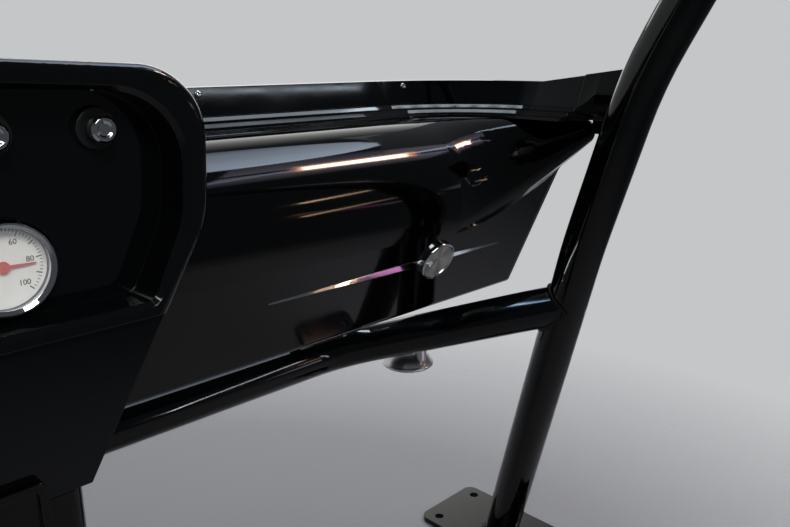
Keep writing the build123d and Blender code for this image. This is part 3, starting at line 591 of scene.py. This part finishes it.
# %% Screws in the flange and the tabs
FLANGE_TOP = 4.0
FLANGE_SCREW_X, FLANGE_SCREW_Y = (-64.0, 64.0), (-77.0, 2.0)
TAB_X, TAB_SCREW_REACH = (-350.0, -120.0, 120.0, 350.0), 8.0
TAB_SCREW_Y, TAB_UNDERSIDE = 51.7, 311.0
set_fixings(
    "column_flange_screws", screw_head("one_column_screw", 3.4 * MM, zinc_steel),
    [(Vector((x, y, FLANGE_TOP)) * MM, UP) for x in FLANGE_SCREW_X for y in FLANGE_SCREW_Y],
    zinc_steel, seed=4
)
set_fixings(
    "bracket_tab_screws", screw_head("one_tab_screw", 2.6 * MM, zinc_steel),
    [(Vector((x + side * TAB_SCREW_REACH, TAB_SCREW_Y, TAB_UNDERSIDE)) * MM, DOWN)
     for x in TAB_X for side in (-1, 1)],
    zinc_steel, seed=6
)

# %% Nuts on the clamp and the gauge straps
CLAMP_MIDDLE = Vector((-350.0, 80.4, 200.2))
CLAMP_RAKE = math.radians(22.0)
CLAMP_WAY = Vector((0.0, math.sin(CLAMP_RAKE), math.cos(CLAMP_RAKE)))
CLAMP_BOLT_REACH, CLAMP_EAR_HALF = 38.4, 8.0
GAUGE_X, GAUGE_Z = 33.0, 463.0
STRAP_STUD_REACH, STRAP_BACK_Y = 11.0, -0.7
set_fixings(
    "clamp_nuts",
    hexagon_nut("one_clamp_nut", flats_mm=13.0, height_mm=6.5, bolt_mm=8.0, proud_mm=2.5, finish=zinc_steel),
    [((CLAMP_MIDDLE + Vector((reach, 0.0, 0.0)) + CLAMP_WAY * CLAMP_EAR_HALF * side) * MM, CLAMP_WAY * side)
     for reach in (-CLAMP_BOLT_REACH, CLAMP_BOLT_REACH) for side in (-1.0, 1.0)],
    zinc_steel, seed=7, smooth=False
)
set_fixings(
    "gauge_strap_nuts",
    hexagon_nut("one_strap_nut", flats_mm=7.0, height_mm=3.2, bolt_mm=4.0, proud_mm=2.0, finish=zinc_steel),
    [(Vector((side * GAUGE_X + reach, STRAP_BACK_Y, GAUGE_Z)) * MM, FORWARD)
     for side in (-1, 1) for reach in (-STRAP_STUD_REACH, STRAP_STUD_REACH)],
    zinc_steel, seed=9, smooth=False
)

# %% [markdown]
# ## Weld beads
#
# The dash bar is coped to fit the hoop's legs and welded all round, and each leg is welded to its base plate.
# A hand-made weld is a row of small overlapping ripples, like coins laid in a line. A bump could draw the
# ripples, but a bead stands out from the tube and shows at its edge, so it is modelled. The line is where one
# tube's surface meets the other, found by arithmetic, and Geometry Nodes lays a flattened bead at each step.

# %% Where the tubes meet
TUBE_DIAMETER = 41.3
TUBE_R = TUBE_DIAMETER / 2 * MM
PLATE_TOP = 6.0 * MM
FOOT = Vector((584.0, 4.0, 0.0)) * MM
KNEE = Vector((533.0, -118.0, 400.0)) * MM
BAR_RISE = Vector((477.0, 28.0, 291.0)) * MM
BAR_JOINT_SHARE = 337.0 / 400.0
LEG_WAY = (KNEE - FOOT).normalized()
BAR_JOINT = FOOT + (KNEE - FOOT) * BAR_JOINT_SHARE
BAR_WAY = (BAR_JOINT - BAR_RISE).normalized()
SIGHT_START = 0.2


def tube_ring(middle, side, other, steps=96):
    """Points round a middle, at the tube's radius."""
    turns = [2 * math.pi * i / steps for i in range(steps)]
    return [middle + (side * math.cos(turn) + other * math.sin(turn)) * TUBE_R for turn in turns]


def saddle_line():
    """Closed line where the bar's surface meets the leg's surface, on the right-hand side.

    From each point of a ring on the bar, a line along the bar reaches the leg where its distance from the
    leg's axis is the tube's radius, which is the nearer root of a quadratic."""
    across = BAR_WAY.cross(UP).normalized()
    above = across.cross(BAR_WAY).normalized()
    sideways = BAR_WAY - LEG_WAY * BAR_WAY.dot(LEG_WAY)
    line = []
    for start in tube_ring(BAR_JOINT - BAR_WAY * SIGHT_START, across, above):
        off = start - BAR_JOINT
        off = off - LEG_WAY * off.dot(LEG_WAY)
        square, double, plain = sideways.dot(sideways), 2 * sideways.dot(off), off.dot(off) - TUBE_R ** 2
        root = math.sqrt(max(double * double - 4 * square * plain, 0.0))
        line.append(start + BAR_WAY * ((-double - root) / (2 * square)))
    return line


def foot_line():
    """Closed line where the leg's surface meets the top of its base plate."""
    side = LEG_WAY.cross(FORWARD).normalized()
    other = LEG_WAY.cross(side).normalized()
    return [start + LEG_WAY * ((PLATE_TOP - start.z) / LEG_WAY.z) for start in tube_ring(FOOT, side, other)]


def mirrored(line):
    """The same line on the other side of the car."""
    return [Vector((-p.x, p.y, p.z)) for p in line]


print("the bar meets the leg at", [round(v, 3) for v in BAR_JOINT])


# %% Geometry Nodes that lay a bead of ripples
def bead_tree():
    """A tree that lays flattened, overlapping ripples along each closed line."""
    tree, given = new_tree("lay_weld_bead", (
        ("Line", "Geometry", None),
        ("Step", "Float", 2.2 * MM),
        ("Bead radius", "Float", 3.2 * MM),
        ("Thickness", "Float", 0.62),
        ("Seed", "Int", 5),
        ("Finish", "Material", None),
    ), "Bead")
    curve = add_node(tree, "GeometryNodeMeshToCurve", {0: given["Line"]})
    points = add_node(tree, "GeometryNodeCurveToPoints", {
        "Curve": curve, "Length": given["Step"],
    }, mode="LENGTH")
    ripple = add_node(tree, "GeometryNodeMeshIcoSphere", {"Radius": given["Bead radius"], "Subdivisions": 2})
    lean = add_node(tree, "FunctionNodeAlignRotationToVector", {
        "Vector": points.outputs["Tangent"],
    }, axis="Z")
    wide = add_node(tree, "FunctionNodeRandomValue", {
        "Min": 0.9, "Max": 1.12, "Seed": given["Seed"],
    }).outputs["Value"]
    size = add_node(tree, "ShaderNodeCombineXYZ", {"X": wide, "Y": wide, "Z": given["Thickness"]})
    copies = add_node(tree, "GeometryNodeInstanceOnPoints", {
        "Points": points, "Instance": ripple, "Rotation": lean, "Scale": size,
    })
    end_tree(tree, copies, given["Finish"])
    return tree


BEAD_TREE = bead_tree()


def lay_beads(name, line, bead_mm, step_mm, seed):
    """Weld beads along a closed line and its mirror image, as one piece in the tube's paint."""
    points, edges = [], []
    for closed in (line, mirrored(line)):
        first = len(points)
        points += [tuple(p) for p in closed]
        edges += [(first + i, first + (i + 1) % len(closed)) for i in range(len(closed))]
    start = bpy.data.meshes.new(name + "_lines")
    start.from_pydata(points, edges, [])
    run_tree(name, start, BEAD_TREE, {
        "Step": step_mm * MM, "Bead radius": bead_mm * MM, "Seed": seed, "Finish": tube_enamel,
    })


lay_beads("bar_weld_beads", saddle_line(), bead_mm=3.0, step_mm=2.4, seed=5)
lay_beads("foot_weld_beads", foot_line(), bead_mm=3.4, step_mm=2.6, seed=8)

# %% [markdown]
# ## Dial marks
#
# Both gauges have a white dial with black divisions and plain numbers from 0 to 100 over three quarters of a
# turn. A picture could print them, but modelled marks stay sharp at any size. The divisions are the same bar
# repeated round a circle, so Geometry Nodes lays them too: a long bold bar at every ten on the scale, and
# four short ones between. The tree works out each bar's angle and length from its place in the row, by the
# table of sums in its middle.

# %% Divisions round a dial
POD_RIM_Y, BAY_DEPTH, DIAL_SUNK, DIAL_THICKNESS = -75.0, 30.0, 2.0, 1.0
DIAL_Y = (POD_RIM_Y + BAY_DEPTH + DIAL_SUNK - DIAL_THICKNESS) * MM
DIAL_START = math.radians(225.0)
DIAL_SWEEP = math.radians(270.0)
MARK_COUNT = 51


def mark_tree():
    """A tree that lays printed bars round part of a circle, every fifth one longer and bolder."""
    tree, given = new_tree("print_divisions", (
        ("Middle", "Geometry", None),
        ("Count", "Int", MARK_COUNT),
        ("Outer radius", "Float", 22.5 * MM),
        ("Short length", "Float", 1.6 * MM),
        ("Long length", "Float", 3.4 * MM),
        ("Width", "Float", 0.42 * MM),
        ("Start angle", "Float", DIAL_START),
        ("Sweep", "Float", DIAL_SWEEP),
        ("Finish", "Material", None),
    ), "Marks")
    known = {socket.name: socket for socket in given}
    known["order"] = add_node(tree, "GeometryNodeInputIndex")
    for result, first, operation, second in (
        ("last", "Count", "SUBTRACT", 1.0),
        ("share", "order", "DIVIDE", "last"),
        ("turn", "share", "MULTIPLY", "Sweep"),
        ("angle", "Start angle", "SUBTRACT", "turn"),
        ("place in five", "order", "MODULO", 5.0),
        ("fifth", "place in five", "LESS_THAN", 0.5),
        ("difference", "Long length", "SUBTRACT", "Short length"),
        ("extra length", "fifth", "MULTIPLY", "difference"),
        ("length", "Short length", "ADD", "extra length"),
        ("half length", "length", "MULTIPLY", 0.5),
        ("reach", "Outer radius", "SUBTRACT", "half length"),
        ("cosine", "angle", "COSINE", 0.0),
        ("sine", "angle", "SINE", 0.0),
        ("x", "reach", "MULTIPLY", "cosine"),
        ("z", "reach", "MULTIPLY", "sine"),
        ("bolder", "fifth", "MULTIPLY", 0.6),
        ("extra width", "Width", "MULTIPLY", "bolder"),
        ("width", "Width", "ADD", "extra width"),
    ):
        known[result] = add_node(tree, "ShaderNodeMath", {
            0: known[first], 1: known.get(second, second),
        }, operation=operation)
    place = add_node(tree, "ShaderNodeCombineXYZ", {"X": known["x"], "Y": 0.0, "Z": known["z"]})
    line = add_node(tree, "GeometryNodeMeshLine", {"Count": given["Count"]})
    points = add_node(tree, "GeometryNodeSetPosition", {"Geometry": line, "Position": place})
    bar = add_node(tree, "GeometryNodeMeshCube", {"Size": (1.0, 1.0, 1.0)})
    turn = add_node(tree, "FunctionNodeAxisAngleToRotation", {
        "Axis": (0.0, -1.0, 0.0), "Angle": known["angle"],
    })
    size = add_node(tree, "ShaderNodeCombineXYZ", {
        "X": known["length"], "Y": 0.12 * MM, "Z": known["width"],
    })
    bars = add_node(tree, "GeometryNodeInstanceOnPoints", {
        "Points": points, "Instance": bar, "Rotation": turn, "Scale": size,
    })
    dials = add_node(tree, "GeometryNodeInstanceOnPoints", {"Points": given["Middle"], "Instance": bars})
    end_tree(tree, dials, given["Finish"])
    return tree


MARK_LIFT = 0.05 * MM
dial_middles = bpy.data.meshes.new("dial_middles")
dial_middles.from_pydata([
    (side * GAUGE_X * MM, DIAL_Y - MARK_LIFT, GAUGE_Z * MM) for side in (-1, 1)
], [], [])
run_tree("dial_divisions", dial_middles, mark_tree(), {"Finish": dial_black})

# %% Numbers round a dial
NUMBER_HEIGHT, NUMBER_REACH = 4.6 * MM, 15.6 * MM
NUMBER_LIFT, NUMBER_BOLDER = 0.06 * MM, 0.05 * MM
NUMBER_STEP, SCALE_END = 20, 100


def dial_numbers(name, side):
    """Plain numbers inside the divisions of one dial."""
    joined = bmesh.new()
    for value in range(0, SCALE_END + 1, NUMBER_STEP):
        angle = DIAL_START - DIAL_SWEEP * value / SCALE_END
        words = bpy.data.curves.new("one_number", "FONT")
        words.body = str(value)
        words.size = NUMBER_HEIGHT
        words.align_x = "CENTER"
        words.align_y = "CENTER"
        words.extrude = NUMBER_LIFT
        words.offset = NUMBER_BOLDER
        writer = bpy.data.objects.new("one_number", words)
        scene.collection.objects.link(writer)
        bpy.context.view_layer.update()
        mesh = bpy.data.meshes.new_from_object(
            writer.evaluated_get(bpy.context.evaluated_depsgraph_get())
        )
        place = Vector((side * GAUGE_X * MM, DIAL_Y - NUMBER_LIFT, GAUGE_Z * MM))
        place += Vector((math.cos(angle), 0.0, math.sin(angle))) * NUMBER_REACH
        mesh.transform(Matrix.Translation(place) @ Matrix.Rotation(math.radians(90.0), 4, "X"))
        joined.from_mesh(mesh)
        bpy.data.objects.remove(writer)
        bpy.data.meshes.remove(mesh)
    piece = make_piece(name, joined, dial_black, smooth=False)
    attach(piece, "root")
    print(name, "faces:", len(piece.data.polygons))


dial_numbers("dial_numbers_left", -1)
dial_numbers("dial_numbers_right", 1)

# %% [markdown]
# ## The badge's clear dome
#
# A shallow lens of clear acrylic covers the silver disc. A squashed ball would be quick, but it has no edge
# and no flat underside, so the dome is turned from a profile: an upright edge with a low arc on top. It is
# tilted with the dash's face, whose foot is farther forward than its top by 24 degrees.

# %% A dome over the disc
DOME_R, DOME_RISE, DOME_EDGE, DOME_GAP = 18.4 * MM, 1.7 * MM, 0.35 * MM, 0.05 * MM
DOME_STEPS = 8
HOUSING_HEIGHT, HOUSING_RECESS, DISC_THICKNESS = 4.8, 2.0, 0.8
DISC_TOP = (HOUSING_HEIGHT - HOUSING_RECESS + DISC_THICKNESS) * MM

dome_profile = [(0.0, 0.0), (DOME_R, 0.0), (DOME_R, DOME_EDGE)]
for step in range(1, DOME_STEPS + 1):
    share = 1 - step / DOME_STEPS
    dome_profile.append((DOME_R * share, DOME_EDGE + DOME_RISE * (1 - share ** 2)))
dome = make_piece("badge_dome", turned_shape(dome_profile, steps=48), dome_glass)
face_out = Vector((0.0, -math.cos(FACE_TILT), -math.sin(FACE_TILT)))
stand = face_out.to_track_quat("Z", "Y").to_matrix().to_4x4()
dome.data.transform(Matrix.Translation(BADGE_MIDDLE + face_out * (DISC_TOP + DOME_GAP)) @ stand)
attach(dome, "root")
print("dome faces:", len(dome.data.polygons))

# %% [markdown]
# ## Floor and backdrop
#
# The object stands on a plain pale floor that fades out into an even pale backdrop, so that its outline reads
# clearly. A camera ray and a ray through glass see the backdrop's own colour. What the paint mirrors is the
# studio: pale ahead of the car, which metal and paint show as the backdrop does, and dim behind the camera,
# which keeps the faces that look backwards deep black. A sky picture could do this too, but two colours and a
# soft change between them are easier to steer.

# %% The floor
FLOOR_RADIUS = 1.30
FADE_START, FADE_END = 0.70, 1.25


def pale_floor():
    """A round floor whose edge fades out into the backdrop."""
    finish, tree, shader, place = new_finish("pale_studio_floor", **{
        "Base Color": linear("#A8AAAC"), "Roughness": 0.8,
    })
    distance = add_node(tree, "ShaderNodeVectorMath", {0: place}, operation="LENGTH").outputs["Value"]
    share = add_node(tree, "ShaderNodeMapRange", {
        "Value": distance, "From Min": FADE_START, "From Max": FADE_END,
    })
    clear = add_node(tree, "ShaderNodeBsdfTransparent")
    fade = add_node(tree, "ShaderNodeMixShader", {"Fac": share, 1: shader, 2: clear})
    output = next(node for node in tree.nodes if node.type == "OUTPUT_MATERIAL")
    tree.links.new(fade.outputs[0], output.inputs["Surface"])
    shape = bmesh.new()
    bmesh.ops.create_circle(shape, cap_ends=True, segments=96, radius=FLOOR_RADIUS)
    make_piece("studio_floor", shape, finish, smooth=False)


pale_floor()

# %% The backdrop
# reach is how far a direction goes ahead for each metre that it climbs
HORIZON = 0.05
DIM_REACH, PALE_REACH = 0.5, 2.4

world = bpy.data.worlds.new("pale_studio")
scene.world = world
world.use_nodes = True
sky = world.node_tree
sky.nodes.clear()
way = add_node(sky, "ShaderNodeSeparateXYZ", {
    0: add_node(sky, "ShaderNodeTexCoord").outputs["Generated"],
}).outputs
height = add_node(sky, "ShaderNodeMath", {0: way["Z"], 1: HORIZON}, operation="MAXIMUM")
reach = add_node(sky, "ShaderNodeMath", {0: way["Y"], 1: height}, operation="DIVIDE")
ahead = add_node(sky, "ShaderNodeMapRange", {"Value": reach, "From Min": DIM_REACH, "From Max": PALE_REACH})
studio = add_node(sky, "ShaderNodeMix", {
    "Factor": ahead, "A": linear("#46494C"), "B": linear("#C0C3C5"),
}, data_type="RGBA")
ray = add_node(sky, "ShaderNodeLightPath").outputs
straight = add_node(sky, "ShaderNodeMath", {
    0: ray["Is Camera Ray"], 1: ray["Is Transmission Ray"],
}, operation="MAXIMUM")
mirrored_ahead = add_node(sky, "ShaderNodeMath", {0: ray["Is Glossy Ray"], 1: ahead}, operation="MULTIPLY")
shown = add_node(sky, "ShaderNodeMath", {0: straight, 1: mirrored_ahead}, operation="MAXIMUM")
seen = add_node(sky, "ShaderNodeMix", {
    "Factor": shown, "A": studio.outputs["Result"], "B": linear("#C4C6C8"),
}, data_type="RGBA")
glow = add_node(sky, "ShaderNodeBackground", {"Color": seen.outputs["Result"], "Strength": 1.0})
add_node(sky, "ShaderNodeOutputWorld", {"Surface": glow})
print("backdrop nodes:", len(sky.nodes))

# %% [markdown]
# ## Lamps
#
# Black gloss paint shows almost nothing but reflections, so the lamps are long narrow strips: each one draws
# a bright line along the roll of the dash, the bar or the post. A few large lamps would be simpler, but they
# would turn the black paint grey. The strips' places were found backwards: from a highlight, the line of
# sight is mirrored at the surface and followed to the height of the ceiling or to the wall behind. A lamp
# that would draw a second, unwanted line on another piece is linked to one piece alone, as a photographer
# screens a lamp with a card. A dim grey card beside the far end does the same for the end of the roll.

# %% Lamp helpers
CEILING, WALL = 2.30, -2.00


def set_lamp(name, matrix, size, glow_area, colour, shape="RECTANGLE", fade=None, lights=None, screens=None):
    """One area lamp of (length, width) metres, whose fade is an axis and the glow at each end of it.

    Where the collections are given, it lights only what is in lights, and only what is in screens can stand
    in its way."""
    light = bpy.data.lights.new(name, "AREA")
    light.shape = shape
    light.size, light.size_y = size
    light.energy = glow_area * math.pi
    light.color = linear(colour)[:3]
    if fade:
        axis, low_glow, high_glow = fade
        light.use_nodes = True
        tree = light.node_tree
        tree.nodes.clear()
        across = add_node(tree, "ShaderNodeSeparateXYZ", {
            0: add_node(tree, "ShaderNodeNewGeometry").outputs["Parametric"],
        }).outputs[axis]
        glow = add_node(tree, "ShaderNodeMapRange", {
            "Value": across, "To Min": low_glow, "To Max": high_glow,
        })
        shine = add_node(tree, "ShaderNodeEmission", {"Strength": glow})
        add_node(tree, "ShaderNodeOutputLight", {"Surface": shine})
    lamp = bpy.data.objects.new(name, light)
    scene.collection.objects.link(lamp)
    lamp.matrix_world = matrix
    lamp.visible_camera = False
    if lights is not None:
        lamp.light_linking.receiver_collection = lights
    if screens is not None:
        lamp.light_linking.blocker_collection = screens


def strip_lamp(name, start, end, width, glow, colour="#FFFFFF", aim=(0.2, -0.1, 0.4), **more):
    """A long narrow lamp from one point to another, facing the dash. Its glow is 1 for white paper."""
    start, end = Vector(start), Vector(end)
    length = (end - start).length
    middle = (start + end) / 2
    along = (end - start).normalized()
    back = (middle - Vector(aim)).normalized()
    side = back.cross(along).normalized()
    back = along.cross(side).normalized()
    matrix = Matrix.Translation(middle) @ Matrix((along, side, back)).transposed().to_4x4()
    set_lamp(name, matrix, (length, width), glow * length * width, colour, **more)


def ceiling_lamp(name, middle, size, glow, colour="#FFFFFF", shape="RECTANGLE", **more):
    """A flat lamp that faces straight down."""
    area = size[0] * size[1] * (math.pi / 4 if shape == "ELLIPSE" else 1.0)
    set_lamp(name, Matrix.Translation(middle), size, glow * area, colour, shape, **more)


# %% Which pieces a lamp lights
def linked(name, starts, state="INCLUDE"):
    """A collection of the nodes whose names start so, which a lamp lights alone or leaves out."""
    group = bpy.data.collections.new(name)
    for node_name, node in nodes.items():
        if node_name.startswith(starts):
            group.objects.link(node)
    for member in group.collection_objects:
        member.light_linking.link_state = state
    return group


rail_only = linked("rail_only", ("windscreen_rail",))
bar_only = linked("bar_only", ("dash_bar",))
hoop_only = linked("hoop_only", ("roll_hoop",))
lamps_only = linked("lamps_only", ("lamp_",))
badge_only = linked("badge_only", ("badge_disc",))
not_dash = linked("not_dash", ("windscreen_rail", "pillar_shoes", "dash_panel", "dash_end"), "EXCLUDE")
front_parts = linked("front_parts", ("gauge_", "badge_", "pull_", "knob_", "pod_housing"))
pod_only = linked("pod_only", ("pod_housing",))
not_rail = linked("not_rail", ("windscreen_rail", "pillar_shoes"), "EXCLUDE")

# %% Long lines and soft bands on the roll
for name, start, end, width, glow, colour in (
    ("roll_core", (1.76, -0.61, CEILING), (2.34, -0.575, CEILING), 0.20, 30.0, "#FFF4E6"),
    ("roll_near", (1.20, -0.88, CEILING), (1.75, -0.64, CEILING), 0.08, 2.4, "#B9B8E8"),
    ("roll_far", (2.36, -0.50, CEILING), (2.66, -0.35, CEILING), 0.06, 5.0, "#C9CCFF"),
    ("roll_fringe", (1.74, -0.61, 2.32), (2.42, -0.57, 2.32), 0.32, 7.0, "#FF9C50"),
    ("roll_tip", (2.66, -0.35, CEILING), (3.00, -0.22, CEILING), 0.035, 14.0, "#FFE9DC"),
):
    strip_lamp(name, start, end, width, glow, colour, lights=not_rail)
for name, middle, size, glow, colour, shape, fade in (
    ("roll_halo_low", (2.05, -0.84, 2.34), (1.3, 0.42), 1.8, "#E6E6FF", "RECTANGLE", ("Y", 0.05, 1.0)),
    ("roll_halo_high", (2.05, -0.30, 2.34), (1.3, 0.50), 1.4, "#E6E6FF", "RECTANGLE", ("Y", 1.0, 0.1)),
    ("far_soft", (3.5, 0.40, 2.36), (2.6, 1.5), 0.35, "#FFFFFF", "RECTANGLE", None),
    ("side_soft", (1.35, 0.38, CEILING), (1.56, 1.12), 6.6, "#D9EAFF", "ELLIPSE", ("Y", 1.0, 0.16)),
):
    ceiling_lamp(name, middle, size, glow, colour, shape, fade=fade, lights=not_rail)
ceiling_lamp("window_soft", (3.6, 3.3, CEILING), (5.0, 4.4), 1.5, "#FFFDF8", fade=("Y", 0.0, 2.2))
strip_lamp("window_low", (1.8, 3.2, 1.20), (4.8, 3.2, 1.20), 1.3, 0.9)

# %% A dim grey card beside the dash's far end
CARD_X = 640.0
CARD_Y_LOW, CARD_Y_HIGH = -10.0, 150.0
CARD_Z_LOW, CARD_Z_HIGH = 598.0, 765.0

card_shape = bmesh.new()
card_shape.faces.new([
    card_shape.verts.new(Vector((CARD_X, y, z)) * MM)
    for y, z in (
        (CARD_Y_LOW, CARD_Z_LOW), (CARD_Y_HIGH, CARD_Z_LOW),
        (CARD_Y_HIGH, CARD_Z_HIGH), (CARD_Y_LOW, CARD_Z_HIGH),
    )
])
card_finish = new_finish("dim_grey_card", **{
    "Base Color": linear("#080808"), "Roughness": 0.9, "Specular IOR Level": 0.0,
    "Emission Color": linear("#F0F4FF"), "Emission Strength": 0.2,
})[0]
grey_card = make_piece("grey_card", card_shape, card_finish, smooth=False)
grey_card.visible_camera = False

# %% Pale lines along the moulding's steps, from lamps that light the moulding alone
STEP_LINE_COLOUR = "#D4E2EE"
STEP_LINE_NEAR, STEP_LINE_FAR = 1.30, 2.75
for name, y, width, glow in (
    ("top_line", -1.660, 0.018, 11.0),
    ("step_line_high", -1.165, 0.07, 7.0),
    ("step_line_low", -0.745, 0.045, 5.0),
):
    strip_lamp(
        name, (STEP_LINE_NEAR, y, CEILING), (STEP_LINE_FAR, y - 0.02, CEILING), width, glow, STEP_LINE_COLOUR,
        lights=rail_only, screens=rail_only
    )


# %% The same lines carried round the moulding's corner
def mirrored_up(place, normal):
    """Where the line of sight to a place, mirrored there, reaches the ceiling."""
    sight = (place - EYE).normalized()
    away = sight - 2 * sight.dot(normal) * normal
    return place + away * ((CEILING - place.z) / away.z)


CORNER_MIDDLE_X, CORNER_MIDDLE_Y = RAIL_SIDE_X - RAIL_CORNER_R, RAIL_Y - RAIL_CORNER_R
CORNER_END, CORNER_STEP = 84, 12
CORNER_TURNS = [math.radians(degrees) for degrees in range(0, CORNER_END + 1, CORNER_STEP)]
for name, step_y, step_z, tilt_degrees, width, glow in (
    ("corner_high", 97.5, 524.5, 30.0, 0.07, 12.0),
    ("corner_low", 84.0, 520.0, 35.5, 0.045, 9.0),
):
    tilt = math.radians(tilt_degrees)
    corner_points = []
    for turn in CORNER_TURNS:
        outward = Vector((math.sin(turn), math.cos(turn), 0.0))
        place = Vector((CORNER_MIDDLE_X, CORNER_MIDDLE_Y, step_z)) + outward * (step_y - CORNER_MIDDLE_Y)
        facing = Vector((0.0, 0.0, math.sin(tilt))) - outward * math.cos(tilt)
        corner_points.append(mirrored_up(place * MM, facing))
    for step, (start, end) in enumerate(zip(corner_points, corner_points[1:])):
        strip_lamp(
            f"{name}_{step}", start, end, width, glow, STEP_LINE_COLOUR, aim=(0.55, 0.05, 0.52),
            lights=rail_only, screens=rail_only
        )

# %% Thin lines on the face and the spear, from strips on the wall behind
for name, start, end, width, glow in (
    ("face_line_high", (1.91, WALL, 1.33), (2.58, WALL, 1.48), 0.06, 14.0),
    ("face_line_low", (1.78, WALL, 0.65), (2.35, WALL, 0.78), 0.05, 9.0),
):
    strip_lamp(name, start, end, width, glow, "#FFD9B0", fade=("X", 1.0, 0.1))
for name, start, end, glow, colour in (
    ("spear_warm", (1.75, WALL, 0.81), (1.99, WALL, 0.66), 0.8, "#FFC79C"),
    ("spear_rose", (1.99, WALL, 0.66), (2.22, WALL, 0.54), 0.9, "#E07BC8"),
    ("spear_blue", (2.22, WALL, 0.53), (2.60, WALL, 0.56), 0.8, "#BCC6F4"),
    ("spear_right", (2.70, WALL, 0.70), (3.15, WALL, 1.18), 0.7, "#D8E2EC"),
):
    strip_lamp(name, start, end, 0.08, glow, colour)

# %% Thin lines along the bar, from lamps that light the bar alone
for name, start, end, width, glow, colour in (
    ("bar_line_near", (1.15, WALL, 0.50), (2.45, WALL, 2.00), 0.05, 20.0, "#E9EEF6"),
    ("bar_line_slope", (-0.95, 0.15, CEILING), (0.62, 1.12, CEILING), 0.10, 24.0, "#DCE6F2"),
    ("bar_line_far", (-0.90, 0.70, CEILING), (-1.90, 0.08, CEILING), 0.07, 22.0, "#A5D2FF"),
    ("bar_line_top", (-0.10, 1.02, CEILING), (-1.30, 0.42, CEILING), 0.03, 12.0, "#E4EEF8"),
    ("bar_band_low", (1.60, WALL, 0.16), (2.30, WALL, 0.48), 0.30, 4.0, "#C9BEDC"),
):
    strip_lamp(name, start, end, width, glow, colour, lights=bar_only, screens=hoop_only)

# %% A line on the post, and soft light on the badge and the lamps under the dash
for name, start, end, width, glow, colour, lights in (
    ("post_line", (0.10, 0.66, 0.02), (-0.42, 0.16, 0.02), 0.03, 12.0, "#E9EEF6", hoop_only),
    ("badge_soft", (0.75, -1.35, 0.15), (1.20, -1.35, 0.15), 0.40, 0.9, "#FFF0EA", badge_only),
    ("lamp_glow", (0.10, -1.60, 0.10), (1.60, -1.60, 0.10), 0.90, 1.6, "#FFFFFF", lamps_only),
):
    strip_lamp(name, start, end, width, glow, colour, lights=lights)

# %% Soft light from above, from behind the driver and on the pod's rim
ceiling_lamp("overhead_soft", (-0.9, -0.4, 2.60), (1.4, 1.8), 1.0, lights=not_dash)
strip_lamp("driver_soft", (-1.60, -1.90, CEILING), (0.30, -2.40, CEILING), 0.90, 13.0, lights=front_parts)
ceiling_lamp("pod_rim", (0.7, 1.7, CEILING), (3.2, 1.5), 1.8, "#E9EDF0", lights=pod_only)

# %% [markdown]
# ## Colour settings
#
# View transform Standard shows each colour as it was written.

# %% Finish
scene.view_settings.view_transform = "Standard"
